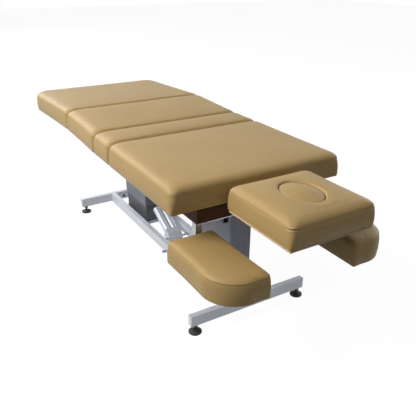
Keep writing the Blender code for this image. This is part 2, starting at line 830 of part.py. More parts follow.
def seat_ear(bm, side, y, tube_y, lean):
    """A plate standing on a seat tube, up to a raised pivot."""
    x_low, x_high = span(side, *inner_plate)
    half = EAR_BASE / 2
    foot = tube_y + SEAT_TUBE_WIDTH / 2
    near, far = foot - lean * half, foot + lean * half
    root = apron_top - TUBE_WALL / 2
    near_turn, far_turn = 90 - lean * EAR_NEAR_TURN, 90 + lean * EAR_FAR_TURN
    outline = arc((y, hinge_z), KNUCKLE, near_turn, far_turn, SMALL_ROUND)
    outline += [(near, root), (far, root)]
    prism(bm, "X", outline, x_low, x_high)


def stub_pin(bm, side, place, root, end):
    """A headed pin that stands on a plate and carries the plate beside it."""
    lean = 1 if end > root else -1
    profile = [
        (PIN_RADIUS, root),
        (PIN_RADIUS, end),
        (PIN_HEAD, end),
        (PIN_HEAD, end + lean * PIN_HEAD_DEPTH),
    ]
    turned(bm, "X", place, [(radius, side * x) for radius, x in profile], SMALL_ROUND)


plate_middle = (inner_plate[0] + inner_plate[1]) / 2
outer_middle = (outer_plate[0] + outer_plate[1]) / 2
beyond_outer = outer_plate[1] + FIT
beyond_inner = inner_plate[0] - FIT


def back_plate(bm, side):
    """A moving plate of the back section; the right one has the strut's lever."""
    x_low, x_high = span(side, *outer_plate)
    y = back_hinge_y
    run_low = run_top - RUN_DEPTH
    outline = arc((y, hinge_z), KNUCKLE, 0, 180, SMALL_ROUND // 2)
    outline += [(y - EAR_BASE, board_low + BOARD), (y - EAR_BASE, run_top), (y - BACK_RUN, run_top)]
    outline.append((y - BACK_RUN, run_low))
    holes = [pin_hole(y, hinge_z)]
    if side > 0:
        end = (y, hinge_z - LEVER_LENGTH)
        outline.append((y - LEVER_HALF_WIDTH, run_low))
        outline += arc(end, LEVER_HALF_WIDTH, 180, 360, SMALL_ROUND // 2)
        holes.append(pin_hole(*end, ROD_RADIUS))
    else:
        outline.append((y + KNUCKLE, run_low))
    prism(bm, "X", outline, x_low, x_high, holes)


def thigh_plate(bm, side):
    """A plate from the raised seat pivot to the knee pivot."""
    x_low, x_high = span(side, *outer_plate)
    y = thigh_hinge_y
    outline = arc((y, hinge_z), KNUCKLE, 180, 0, SMALL_ROUND // 2)
    outline += [(y + EAR_BASE, board_low + BOARD), (y + EAR_BASE, run_top)]
    outline += arc((knee_y, knee_z), RUN_DEPTH / 2, 90, -90, SMALL_ROUND // 2)
    outline.append((y + EAR_BASE / 3, run_top - RUN_DEPTH))
    prism(bm, "X", outline, x_low, x_high, [pin_hole(y, hinge_z)])


def thigh_channel(bm):
    """The channel, open below, that joins the two thigh plates under the board."""
    start = thigh_start + THIGH_CHANNEL_SETBACK
    end = start + THIGH_CHANNEL
    low = run_top - THIGH_CHANNEL
    roof = run_top - TUBE_WALL
    outline = [(start, low), (start, run_top), (end, run_top), (end, low)]
    outline += [(end - TUBE_WALL, low), (end - TUBE_WALL, roof)]
    outline += [(start + TUBE_WALL, roof), (start + TUBE_WALL, low)]
    prism(bm, "X", outline, -outer_middle, outer_middle)


# The slide bar hangs just low enough for the foot section to rest at its slope
knee_rest = Vector((0.0, thigh_hinge_y, hinge_z)) + Matrix.Rotation(THIGH_REST, 3, "X") @ Vector(
    (0.0, knee_y - thigh_hinge_y, knee_z - hinge_z)
)
bar_rest_z = chassis_top + FIT + SLIDE_BAR_RADIUS
bar_drop = (knee_rest.z - SLIDE_BAR_REACH * math.sin(FOOT_REST) - bar_rest_z) / math.cos(FOOT_REST)
slide_bar = (knee_y + SLIDE_BAR_REACH, knee_z - bar_drop)


def foot_plate(bm, side):
    """A plate from the knee pivot to the slide bar."""
    x_low, x_high = span(side, *inner_plate)
    outline = arc((knee_y, knee_z), RUN_DEPTH / 2, 270, 90, SMALL_ROUND // 2)
    y, z = slide_bar
    outline += [(y + SLIDE_LUG, run_top), (y + SLIDE_LUG, z - SLIDE_LUG * 3 / 4)]
    outline += [(y - SLIDE_LUG, z - SLIDE_LUG * 3 / 4), (y - 2 * SLIDE_LUG, run_top - RUN_DEPTH)]
    prism(bm, "X", outline, x_low, x_high, [pin_hole(knee_y, knee_z)])


def foot_slide_bar(bm):
    """The round bar across the foot end that rides on the chassis rails."""
    half = plate_middle
    prism(bm, "X", circle(slide_bar, SLIDE_BAR_RADIUS, SMALL_ROUND), -half, half)


# Back section pieces

post_z = pad_top - HEADREST_DROP - HEADREST_PAD - FIT - BOARD - POST_DROP
socket_bore = POST_RADIUS + RUNNING
socket_radius = socket_bore + SOCKET_WALL


def front_apron(bm):
    """The brown board under the head end of the back section, holed for the sockets."""
    sockets = [circle((side * POST_SPREAD / 2, post_z), socket_radius + RUNNING) for side in (1, -1)]
    head = rectangle((-APRON_HALF_WIDTH, apron_low), (APRON_HALF_WIDTH, apron_top))
    prism(bm, "Y", head, APRON_START, APRON_START + APRON_BOARD, sockets)


apron_end = back_hinge_y - APRON_REAR_SPACE


def rear_apron(bm):
    """The brown board under the hinge end, notched at its top corners for the plates."""
    inner = outer_plate[0] - FIT
    outer = (apron_inner_x + APRON_HALF_WIDTH) / 2
    ledge = run_top - RUN_DEPTH - FIT
    outline = [(-outer, apron_low), (outer, apron_low), (outer, ledge), (inner, ledge)]
    outline += [(inner, apron_top), (-inner, apron_top), (-inner, ledge), (-outer, ledge)]
    prism(bm, "Y", outline, apron_end - REAR_APRON, apron_end)


def side_aprons(bm):
    """The brown boards under the two sides of the back section."""
    start = APRON_START + APRON_BOARD + FIT
    for side in (1, -1):
        x_low, x_high = span(side, apron_inner_x, APRON_HALF_WIDTH)
        block(bm, (x_low, start, apron_low), (x_high, apron_end, apron_top))


def headrest_socket(bm, side):
    """A tube under the back board that takes one headrest post."""
    centre = (side * POST_SPREAD / 2, post_z)
    bore = circle(centre, socket_bore)
    prism(bm, "Y", circle(centre, socket_radius), SOCKET_START, SOCKET_START + SOCKET_LENGTH, [bore])


def socket_tie(bm):
    """The strip that joins the two sockets and stops the posts."""
    end = SOCKET_START + SOCKET_LENGTH
    half_x, half_z = POST_SPREAD / 2, socket_bore / 2
    block(bm, (-half_x, end - SOCKET_TIE, post_z - half_z), (half_x, end, post_z + half_z))


armrest_top = pad_top - ARMREST_TOP_DROP
armrest_board_low = armrest_top - ARMREST_PAD - FIT - BOARD
armrest_arm_top = armrest_board_low - FIT
armrest_post_x = apron_inner_x - FIT - SLEEVE_WALL - FIT - ARMREST_POST / 2
sleeve_top = board_low - SLEEVE_TOP_GAP


def armrest_sleeve(bm, side):
    """The square sleeve on a side apron that guides an armrest post."""
    reach = ARMREST_POST / 2 + FIT + SLEEVE_WALL
    x = side * armrest_post_x
    low, high = (x - reach, ARMREST_POST_Y - reach), (x + reach, ARMREST_POST_Y + reach)
    box_tube(bm, "Z", low, high, sleeve_top - SLEEVE_LENGTH, sleeve_top, SLEEVE_WALL)


def armrest_post(bm, side):
    """The bent bar under an armrest: a level arm and an upright post."""
    half = ARMREST_POST / 2
    rear = ARMREST_POST_Y + half
    low = armrest_arm_top - ARMREST_POST
    outline = [
        (rear - ARMREST_ARM_LENGTH, low),
        (rear, low),
        (rear, armrest_arm_top + ARMREST_POST_HEIGHT),
        (rear - ARMREST_POST, armrest_arm_top + ARMREST_POST_HEIGHT),
        (rear - ARMREST_POST, armrest_arm_top),
        (rear - ARMREST_ARM_LENGTH, armrest_arm_top),
    ]
    x = side * armrest_post_x
    prism(bm, "X", outline, x - half, x + half)


def armrest_corners(side):
    """Corner radii of an armrest; the outer head corner is the big round one."""
    if side > 0:
        return (ARMREST_CORNER, ARMREST_CORNER, ARMREST_CORNER, ARMREST_BIG_RADIUS)
    return (ARMREST_CORNER, ARMREST_CORNER, ARMREST_BIG_RADIUS, ARMREST_CORNER)


def armrest_pad(bm, side):
    """The pad of an armrest."""
    x_low, x_high = span(side, ARMREST_INNER, ARMREST_INNER + ARMREST_WIDTH)
    low = (x_low, ARMREST_OVERLAP - ARMREST_LENGTH)
    high = (x_high, ARMREST_OVERLAP)
    bottom = armrest_board_low + BOARD + FIT
    cushion(bm, low, high, bottom, armrest_top, armrest_corners(side), ARMREST_CROWN)


def armrest_board(bm, side):
    """The board under an armrest pad, a little smaller than the pad."""
    x_low, x_high = span(side, ARMREST_INNER, ARMREST_INNER + ARMREST_WIDTH)
    radii = armrest_corners(side)
    points = []
    corners = ((x_high, 0, 0), (x_low, 0, 1), (x_low, -ARMREST_LENGTH, 2), (x_high, -ARMREST_LENGTH, 3))
    for x, y, index in corners:
        radius = radii[index]
        to_x = -1 if x == x_high else 1
        to_y = -1 if y == 0 else 1
        centre = (x + to_x * radius, ARMREST_OVERLAP + y + to_y * radius)
        points += arc(centre, radius - BOARD_INSET, index * 90, index * 90 + 90, CORNER_STEPS + 1)
    prism(bm, "Z", points, armrest_board_low, armrest_board_low + BOARD)


# Headrest pieces

headrest_head = -HEADREST_SPACE - HEADREST_LENGTH
headrest_half = HEADREST_WIDTH / 2
headrest_top = pad_top - HEADREST_DROP
headrest_pad_low = headrest_top - HEADREST_PAD
headrest_board_low = headrest_pad_low - FIT - BOARD
plug_y = -HEADREST_SPACE - HEADREST_LENGTH / 2 - PLUG_AHEAD


def face_oval(shrink):
    """The face opening's outline, with as many points as the pad's rim has."""
    count = 4 * (CORNER_STEPS + 1 + SIDE_STEPS)
    points = []
    for step in range(count):
        turn = math.radians(45) + 2 * math.pi * (step - CORNER_STEPS / 2) / count
        across = (PLUG_HALF_WIDTH - shrink) * math.cos(turn)
        points.append((across, plug_y + (PLUG_HALF_LENGTH - shrink) * math.sin(turn)))
    return points


def headrest_pad(bm):
    """The headrest pad with its oval opening."""
    low, high = (-headrest_half, headrest_head), (headrest_half, -HEADREST_SPACE)
    radii = (CORNER_RADIUS,) * 4
    cushion(bm, low, high, headrest_pad_low, headrest_top, radii, CROWN, face_oval(-RUNNING))


def headrest_board(bm):
    """The headrest board, whose smaller opening leaves a ledge for the plug."""
    half = headrest_half - BOARD_INSET
    outline = rectangle((-half, headrest_head + BOARD_INSET), (half, -HEADREST_SPACE - BOARD_INSET))
    prism(bm, "Z", outline, headrest_board_low, headrest_board_low + BOARD, [face_oval(LEDGE)])


def face_plug(bm):
    """The oval plug, domed on top, that fills the opening."""
    edge = PLUG_EDGE
    top = headrest_top + CROWN
    levels = [
        (0.0, headrest_board_low + BOARD + FIT),
        (0.0, top - edge),
        (edge / 3, top - edge / 4),
        (edge, top + edge / 4),
        (PLUG_HALF_WIDTH / 2, top + PLUG_DOME * 4 / 5),
    ]
    rings = []
    for inset, height in levels:
        rings.append([bm.verts.new((x, y, height)) for x, y in face_oval(inset)])
    rings.append([bm.verts.new((0.0, plug_y, top + PLUG_DOME))])
    join_rings(bm, rings)


def headrest_block(bm):
    """The block under the board that turns on the cross shaft."""
    low_z = post_z - POST_RADIUS - RUNNING - CLIP_WALL
    low, high = (-POST_REACH - CLIP_HALF_LENGTH, low_z), (CLIP_HALF_LENGTH - POST_REACH, headrest_board_low - FIT)
    hole = circle((-POST_REACH, post_z), POST_RADIUS + RUNNING)
    prism(bm, "X", rectangle(low, high), -CLIP_HALF_WIDTH, CLIP_HALF_WIDTH, [hole])


def headrest_posts():
    """One bent tube: two posts and the shaft across their head ends."""
    half = POST_SPREAD / 2
    route = [(half, POST_DEPTH)]
    route += arc((half - POST_BEND, POST_BEND - POST_REACH), POST_BEND, 0, -90, CORNER_STEPS)
    route += arc((POST_BEND - half, POST_BEND - POST_REACH), POST_BEND, -90, -180, CORNER_STEPS)
    route.append((-half, POST_DEPTH))
    curve = bpy.data.curves.new("headrest_posts", "CURVE")
    curve.dimensions = "3D"
    curve.bevel_depth = POST_RADIUS
    curve.bevel_resolution = 3
    curve.use_fill_caps = True
    spline = curve.splines.new("POLY")
    spline.points.add(len(route) - 1)
    for point, (x, y) in zip(spline.points, route):
        point.co = (x, y, post_z, 1.0)
    curve.materials.append(bpy.data.materials.get(CHROME[0]) or material(*CHROME))
    made = bpy.data.objects.new("headrest_posts", curve)
    bpy.context.collection.objects.link(made)
    made.parent = empties["headrest_carriage"]
    made.location = -pivots["headrest_carriage"]


# Strut pieces, built level towards the foot end and then sloped


def strut_eye(bm, x, centre, stud_end):
    """A strut's eye and the stud on it that reaches to what carries it."""
    half = STRUT_EYE / 2
    side = 1 if stud_end > x else -1
    profile = [
        (STRUT_RADIUS, x - side * half),
        (STRUT_RADIUS, x + side * half),
        (ROD_RADIUS, x + side * half),
        (ROD_RADIUS, stud_end),
    ]
    turned(bm, "X", centre, profile, SMALL_ROUND)


def strut_barrel(bm, x, base, angle, reach):
    """A gas strut's barrel, with the bore that its rod slides in."""
    outline = circle((x, base[1]), STRUT_RADIUS, SMALL_ROUND)
    bore = circle((x, base[1]), STRUT_BORE, SMALL_ROUND)
    start = base[0] + STRUT_RADIUS / 2
    prism(bm, "Y", outline, start, base[0] + reach - STRUT_RADIUS - STRUT_FREE_ROD, [bore])
    sloped(bm, 0, (0.0, *base), angle)


def strut_rod(bm, x, base, angle, reach, stroke):
    """A gas strut's rod."""
    end = base[0] + reach - STRUT_RADIUS / 2
    start = base[0] + reach - STRUT_RADIUS - STRUT_FREE_ROD - stroke - STRUT_OVERLAP
    turned(bm, "Y", (x, base[1]), [(ROD_RADIUS, start), (ROD_RADIUS, end)], SMALL_ROUND)
    sloped(bm, 0, (0.0, *base), angle)


def strut_lie(base, eye):
    """The slope and length of a strut from its base to its eye."""
    reach = eye - base
    return math.atan2(reach.z, reach.y), reach.length


def turned_about(point, axis, angle):
    """A point after a turn about an axis along X; head-end-up is negative."""
    return axis + Matrix.Rotation(angle, 3, "X") @ (point - axis)


def at(y, z):
    """A place in the middle plane."""
    return Vector((0.0, y, z))


# Axes of the two struts, at rest and at the ends of their ranges
back_axis = at(back_hinge_y, hinge_z)
thigh_axis = at(thigh_hinge_y, hinge_z)
back_base = at(back_strut_y, outrigger_z)
back_eye = at(back_hinge_y, hinge_z - LEVER_LENGTH)
back_lie = strut_lie(back_base, back_eye)
back_lie_up = strut_lie(back_base, turned_about(back_eye, back_axis, -BACK_TILT))
knee_base = at(knee_strut_y, outrigger_z)
knee_eye_level = at(thigh_hinge_y + KNEE_STRUT_REACH, knee_z)
knee_eye = turned_about(knee_eye_level, thigh_axis, THIGH_REST)
knee_lie = strut_lie(knee_base, knee_eye)
knee_lie_up = strut_lie(knee_base, turned_about(knee_eye, thigh_axis, THIGH_TILT))

# Bodies
body("base", (0.0, 0.0, 0.0))
for place, centre in foot_centres().items():
    body("foot_" + place, (*centre, 0.0), "base")
body("actuator", at(*actuator_base), "base")
body("actuator_rod", at(*actuator_top), "actuator")
body("top", (0.0, FRONT_COLUMN_Y, chassis_top), "base")
body("back", back_axis, "top")
body("back_strut", back_base, "top")
body("back_strut_rod", back_eye, "back_strut")
body("thigh", thigh_axis, "top", THIGH_REST)
body("foot", at(knee_y, knee_z), "thigh", -THIGH_REST - FOOT_REST)
body("knee_strut", knee_base, "top")
body("knee_strut_rod", knee_eye, "knee_strut")
body("headrest_carriage", at(0.0, post_z), "back")
body("headrest", at(-POST_REACH, post_z), "headrest_carriage")
body("face_plug", at(plug_y, headrest_board_low + BOARD), "headrest")
for side_name, side in (("left", -1), ("right", 1)):
    pivot = (side * armrest_post_x, ARMREST_POST_Y, armrest_arm_top)
    body(side_name + "_armrest", pivot, "back")

# Pedestal
for name, start in (("front_foot_bar", FRONT_BAR_Y), ("rear_foot_bar", REAR_BAR_Y)):
    bar = piece(name, "base", SILVER, foot_bar, start)
    fuse(bar, "base", end_caps, start)
    cut(bar, "base", stem_holes, start)
for name, side in (("left_base_rail", -1), ("right_base_rail", 1)):
    rail = piece(name, "base", SILVER, base_rail, side)
    cut(rail, "base", tie_rod, FIT)
piece("rail_tie_rod", "base", STEEL, tie_rod)
for name, y in (("front_inner_column", FRONT_COLUMN_Y), ("rear_inner_column", REAR_COLUMN_Y)):
    column = piece(name, "base", DARK, inner_column, y)
    fuse(column, "base", base_plate, y)
piece("actuator_base_pin", "base", STEEL, base_pin)
for place, centre in foot_centres().items():
    piece("levelling_foot_" + place, "foot_" + place, BLACK, levelling_foot, centre)

# Lift actuator
piece("actuator_gearbox", "actuator", SILVER, gearbox)
piece("actuator_motor_tube", "actuator", SILVER, motor_tube)
piece("actuator_spindle_tube", "actuator", SILVER, spindle_tube)
lift_rod = piece("actuator_rod", "actuator_rod", CHROME, actuator_rod)
fuse(lift_rod, "actuator_rod", rod_eye)

# Chassis and seat
for end, y in (("front", FRONT_COLUMN_Y), ("rear", REAR_COLUMN_Y)):
    cover = piece(end + "_column_shroud", "top", GREY, shroud, y)
    fuse(cover, "top", saddle, y)
    piece(end + "_glide_ring", "top", NYLON, glide_ring, y)
piece("left_chassis_rail", "top", GREY, chassis_rail, -1)
rail = piece("right_chassis_rail", "top", GREY, chassis_rail, 1)
fuse(rail, "top", outriggers)
bracket = piece("actuator_lift_bracket", "top", GREY, bracket_plate)
fuse(bracket, "top", bracket_ears)
fuse(bracket, "top", bracket_bolt_heads)
unit = piece("control_box", "top", BLACK, control_box)
cut(unit, "top", inlet_block, 0.0, inlet_face - INLET_DEPTH, inlet_face + OVERRUN)
inlet = piece("mains_inlet", "top", BLACK, inlet_block, FIT, inlet_face - INLET_DEPTH + FIT, inlet_face)
inlet_floor = inlet_face - INLET_DEPTH + INLET_WALL
cut(inlet, "top", inlet_block, INLET_WALL, inlet_floor, inlet_face + OVERRUN)
fuse(inlet, "top", inlet_contacts)
ear_slots = [span(side, inner_plate[0] - 2 * RUNNING, outer_plate[1] + 2 * RUNNING) for side in (1, -1)]
piece("seat_board", "top", PLYWOOD, board, seat_start, seat_end, ear_slots, ear_slots)
seat_pad = piece("seat_cushion", "top", VINYL, section_pad, seat_start, seat_end)
cut(seat_pad, "top", pockets, seat_start - OVERRUN, seat_start + SLOT_DEPTH)
cut(seat_pad, "top", pockets, seat_end - SLOT_DEPTH, seat_end + OVERRUN)
hinge_lines = (
    ("back_hinge_tube", back_hinge_y, back_tube_y, 1),
    ("thigh_hinge_tube", thigh_hinge_y, thigh_tube_y, -1),
)
for name, y, tube_y, lean in hinge_lines:
    tube = piece(name, "top", STEEL, seat_tube, tube_y)
    fuse(tube, "top", both_sides(seat_ear, y, tube_y, lean))
    fuse(tube, "top", both_sides(stub_pin, (y, hinge_z), plate_middle, beyond_outer))

# Back section
piece("back_board", "back", PLYWOOD, board, 0.0, BACK_LENGTH, (), ear_slots)
back_pad = piece("back_cushion", "back", VINYL, section_pad, 0.0, BACK_LENGTH)
cut(back_pad, "back", pockets, BACK_LENGTH - SLOT_DEPTH, BACK_LENGTH + OVERRUN)
piece("back_front_apron", "back", BROWN, front_apron)
frame = piece("back_apron_frame", "back", BROWN, rear_apron)
fuse(frame, "back", side_aprons)
for side_name, side in (("left", -1), ("right", 1)):
    piece(side_name + "_back_hinge_plate", "back", STEEL, back_plate, side)
    piece(side_name + "_armrest_sleeve", "back", STEEL, armrest_sleeve, side)
sockets = piece("headrest_sockets", "back", STEEL, socket_tie)
fuse(sockets, "back", both_sides(headrest_socket))
back_stroke = back_lie_up[1] - back_lie[1]
barrel = piece("back_strut_cylinder", "back_strut", BLACK, strut_barrel, BACK_STRUT_X, back_base.yz, *back_lie)
fuse(barrel, "back_strut", strut_eye, BACK_STRUT_X, back_base.yz, BACK_STRUT_X - stud_from + FIT)
rod = piece("back_strut_rod", "back_strut_rod", CHROME, strut_rod, BACK_STRUT_X, back_base.yz, *back_lie, back_stroke)
fuse(rod, "back_strut_rod", strut_eye, BACK_STRUT_X, back_eye.yz, outer_plate[1] + FIT)

# Thigh and foot sections
piece("thigh_board", "thigh", PLYWOOD, board, thigh_start, thigh_end, ear_slots)
thigh_pad = piece("thigh_cushion", "thigh", VINYL, section_pad, thigh_start, thigh_end)
cut(thigh_pad, "thigh", pockets, thigh_start - OVERRUN, thigh_start + SLOT_DEPTH)
frame = piece("thigh_frame", "thigh", STEEL, thigh_channel)
fuse(frame, "thigh", both_sides(thigh_plate))
fuse(frame, "thigh", both_sides(stub_pin, (knee_y, knee_z), outer_middle, beyond_inner))
piece("foot_board", "foot", PLYWOOD, board, foot_start, foot_end, (), (), CORNER_RADIUS, FOOT_CORNER_RADIUS)
foot_corners = (FOOT_CORNER_RADIUS, FOOT_CORNER_RADIUS, CORNER_RADIUS, CORNER_RADIUS)
piece("foot_cushion", "foot", VINYL, section_pad, foot_start, foot_end, foot_corners)
frame = piece("foot_slide_frame", "foot", STEEL, foot_slide_bar)
fuse(frame, "foot", both_sides(foot_plate))
knee_stroke = knee_lie_up[1] - knee_lie[1]
barrel = piece("knee_strut_cylinder", "knee_strut", BLACK, strut_barrel, KNEE_STRUT_X, knee_base.yz, *knee_lie)
fuse(barrel, "knee_strut", strut_eye, KNEE_STRUT_X, knee_base.yz, KNEE_STRUT_X - stud_from + FIT)
rod = piece("knee_strut_rod", "knee_strut_rod", CHROME, strut_rod, KNEE_STRUT_X, knee_base.yz, *knee_lie, knee_stroke)
fuse(rod, "knee_strut_rod", strut_eye, KNEE_STRUT_X, knee_eye.yz, outer_plate[0] - FIT)

# Headrest and armrests
headrest_posts()
piece("headrest_tilt_block", "headrest", STEEL, headrest_block)
piece("headrest_board", "headrest", PLYWOOD, headrest_board)
piece("headrest_cushion", "headrest", VINYL, headrest_pad)
piece("face_plug", "face_plug", VINYL, face_plug)
for side_name, side in (("left", -1), ("right", 1)):
    where = side_name + "_armrest"
    piece(where + "_post", where, STEEL, armrest_post, side)
    piece(where + "_board", where, PLYWOOD, armrest_board, side)
    piece(where + "_cushion", where, VINYL, armrest_pad, side)

# Put the origin on the floor under the middle of the table's outer box
bpy.context.view_layer.update()
ends = []
for made in bpy.data.objects:
    if made.type in ("MESH", "CURVE") and not made.hide_render:
        ends += [(made.matrix_world @ Vector(corner)).y for corner in made.bound_box]
empties["base"].location.y = -(min(ends) + max(ends)) / 2
bpy.context.view_layer.update()
for name, empty in empties.items():
    place = empty.matrix_world.translation
    print(f"axis {name}: {place.x:.5f} {place.y:.5f} {place.z:.5f}")


def print_strut(name, lie, lie_up, turn):
    """Print how far a strut swings and lengthens for each radian of its section."""
    swing = math.remainder(lie_up[0] - lie[0], 2 * math.pi)
    print(f"{name}: swings {swing / turn:.5f}, lengthens {(lie_up[1] - lie[1]) / turn:.5f} m/rad")
    print(f"{name}: slope {math.degrees(lie[0]):.3f}, length {lie[1]:.5f}")


print_strut("back strut", back_lie, back_lie_up, BACK_TILT)
print_strut("knee strut", knee_lie, knee_lie_up, THIGH_TILT)
print(f"actuator: slope {math.degrees(actuator_angle):.3f}, length {actuator_length:.5f}")
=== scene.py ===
# %% [markdown]
# # An electric massage table, dressed for its picture
#
# The table has a padded deck in four sections, a headrest with a face opening, two
# drop armrests and a powered pedestal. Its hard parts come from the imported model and
# only get finishes here. Its soft parts are made again, because a cushion is a skin
# of vinyl pulled over foam, and that skin has a crown, a rolled edge, seams and folds
# that a plain solid does not have.
#
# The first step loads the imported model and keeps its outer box, so that the dressed
# table can be measured against it at the end.

import json
import math

import bmesh
import bpy
import numpy as np
from mathutils import Matrix, Vector

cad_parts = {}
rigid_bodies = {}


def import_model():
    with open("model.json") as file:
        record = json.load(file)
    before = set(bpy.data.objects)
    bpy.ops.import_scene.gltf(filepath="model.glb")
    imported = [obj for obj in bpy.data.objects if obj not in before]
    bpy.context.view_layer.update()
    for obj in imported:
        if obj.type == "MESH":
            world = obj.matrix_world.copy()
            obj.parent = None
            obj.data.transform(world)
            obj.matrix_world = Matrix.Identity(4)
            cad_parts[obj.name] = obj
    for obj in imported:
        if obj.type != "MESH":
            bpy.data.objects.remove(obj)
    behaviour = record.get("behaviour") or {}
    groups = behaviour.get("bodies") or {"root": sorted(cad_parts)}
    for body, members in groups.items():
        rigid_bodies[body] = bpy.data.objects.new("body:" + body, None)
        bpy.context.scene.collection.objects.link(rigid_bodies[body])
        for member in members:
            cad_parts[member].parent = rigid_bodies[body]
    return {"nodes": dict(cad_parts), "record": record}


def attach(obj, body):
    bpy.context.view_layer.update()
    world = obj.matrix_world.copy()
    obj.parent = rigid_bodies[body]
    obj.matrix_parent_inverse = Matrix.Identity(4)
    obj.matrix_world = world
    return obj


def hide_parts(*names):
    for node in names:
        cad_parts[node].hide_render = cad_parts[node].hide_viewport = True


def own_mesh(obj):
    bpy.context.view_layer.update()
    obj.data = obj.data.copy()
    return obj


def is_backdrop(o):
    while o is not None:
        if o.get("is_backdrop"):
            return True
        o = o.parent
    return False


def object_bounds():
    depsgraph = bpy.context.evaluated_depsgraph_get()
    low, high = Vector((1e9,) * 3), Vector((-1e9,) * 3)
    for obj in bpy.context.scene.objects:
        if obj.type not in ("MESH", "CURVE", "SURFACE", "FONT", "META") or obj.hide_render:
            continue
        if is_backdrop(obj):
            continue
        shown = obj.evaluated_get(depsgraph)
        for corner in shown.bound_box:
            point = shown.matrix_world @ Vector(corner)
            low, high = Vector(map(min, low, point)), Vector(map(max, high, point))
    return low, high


for leftover in list(bpy.data.objects):
    bpy.data.objects.remove(leftover, do_unlink=True)

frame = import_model()
cad_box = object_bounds()
print("packed box", [round(x, 4) for corner in cad_box for x in corner])

# %% [markdown]
# ## The camera
#
# The photograph was taken from beside the head end, a little above the deck. The
# camera was solved from the straight edges of the deck and the pedestal, so it is
# written here as a place, three angles and a lens. Three unit vectors make the
# rotation: right, up and back, and a small roll turns the first two about the third.

# %% Camera
PICTURE = 416
SENSOR = 36.0
FOCAL_PIXELS = 523.59
YAW, PITCH, ROLL = (math.radians(angle) for angle in (-31.4315, 25.2856, 0.6555))
CAMERA_PLACE = Vector((-1.0965, -2.0884, 1.3432))


def in_scene(name, data):
    """A new object in the scene, from a mesh, a lamp or a camera."""
    made = bpy.data.objects.new(name, data)
    bpy.context.scene.collection.objects.link(made)
    return made


def camera_turn():
    level = math.cos(PITCH)
    back = Vector((math.sin(YAW) * level, -math.cos(YAW) * level, math.sin(PITCH)))
    right = Vector((math.cos(YAW), math.sin(YAW), 0.0))
    up = back.cross(right)
    tilted_right = right * math.cos(ROLL) + up * math.sin(ROLL)
    tilted_up = up * math.cos(ROLL) - right * math.sin(ROLL)
    return Matrix((tilted_right, tilted_up, back)).transposed()


lens = bpy.data.cameras.new("studio_camera")
lens.sensor_width = SENSOR
lens.lens = FOCAL_PIXELS / PICTURE * SENSOR
camera = in_scene("studio_camera", lens)
camera.matrix_world = Matrix.Translation(CAMERA_PLACE) @ camera_turn().to_4x4()
bpy.context.scene.camera = camera
bpy.context.scene.view_settings.view_transform = "Standard"
print("lens", round(lens.lens, 2), "mm at", [round(x, 3) for x in CAMERA_PLACE])

# %% [markdown]
# ## The studio
#
# The picture has a bare white ground. A pale floor gives that ground: the camera sees
# it as white, and so do mirrors and glass, while the table's own light stays soft and
# plain. A key lamp on the left and a broad one far behind the foot end give the long
# highlights on the vinyl. Two weak lamps light the head end and the far side, and an
# even grey world fills the shadows. All are large, so no highlight has a hard rim.

# %% Floor and backdrop
FLOOR_SIZE = 30.0
FLOOR_COLOUR = (0.12, 0.12, 0.12, 1.0)
WHITE = (1.0, 1.0, 1.0, 1.0)
FLOOR_GLOW = 0.95


def node(tree, kind, **settings):
    made = tree.nodes.new(kind)
    for name, value in settings.items():
        setattr(made, name, value)
    return made


def seen_directly(tree):
    """One where a ray comes from the camera, a mirror or glass, and zero elsewhere."""
    rays = node(tree, "ShaderNodeLightPath")
    first = node(tree, "ShaderNodeMath", operation="MAXIMUM")
    both = node(tree, "ShaderNodeMath", operation="MAXIMUM")
    tree.links.new(rays.outputs["Is Camera Ray"], first.inputs[0])
    tree.links.new(rays.outputs["Is Glossy Ray"], first.inputs[1])
    tree.links.new(first.outputs[0], both.inputs[0])
    tree.links.new(rays.outputs["Is Transmission Ray"], both.inputs[1])
    return both.outputs[0]


def floor_finish(glow):
    made = bpy.data.materials.new("studio_floor")
    made.use_nodes = True
    tree = made.node_tree
    tree.nodes.clear()
    out = node(tree, "ShaderNodeOutputMaterial")
    paint = node(tree, "ShaderNodeBsdfDiffuse")
    paint.inputs["Color"].default_value = FLOOR_COLOUR
    light = node(tree, "ShaderNodeEmission")
    light.inputs["Color"].default_value = WHITE
    strength = node(tree, "ShaderNodeMath", operation="MULTIPLY")
    strength.inputs[1].default_value = glow
    tree.links.new(seen_directly(tree), strength.inputs[0])
    tree.links.new(strength.outputs[0], light.inputs["Strength"])
    both = node(tree, "ShaderNodeAddShader")
    tree.links.new(paint.outputs[0], both.inputs[0])
    tree.links.new(light.outputs[0], both.inputs[1])
    tree.links.new(both.outputs[0], out.inputs["Surface"])
    return made


floor_mesh = bpy.data.meshes.new("studio_floor")
half_floor = FLOOR_SIZE / 2
floor_mesh.from_pydata(
    [(x * half_floor, y * half_floor, 0.0) for x, y in ((-1, -1), (1, -1), (1, 1), (-1, 1))],
    [],
    [(0, 1, 2, 3)],
)
floor_mesh.materials.append(floor_finish(FLOOR_GLOW))
floor = in_scene("studio_floor", floor_mesh)
floor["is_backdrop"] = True
print("floor", FLOOR_SIZE, "m across")

# %% World
WORLD_COLOUR = (0.92, 0.96, 1.0, 1.0)
WORLD_LIGHT = 0.09

world = bpy.data.worlds.new("studio_world")
world.use_nodes = True
world.node_tree.nodes.clear()
sky = world.node_tree
sky_out = node(sky, "ShaderNodeOutputWorld")
choose = node(sky, "ShaderNodeMixShader")
sky.links.new(seen_directly(sky), choose.inputs["Fac"])
for socket, colour, strength in ((1, WORLD_COLOUR, WORLD_LIGHT), (2, WHITE, 1.0)):
    light = node(sky, "ShaderNodeBackground")
    light.inputs["Color"].default_value = colour
    light.inputs["Strength"].default_value = strength
    sky.links.new(light.outputs[0], choose.inputs[socket])
sky.links.new(choose.outputs[0], sky_out.inputs["Surface"])
bpy.context.scene.world = world
print("world light", WORLD_LIGHT)

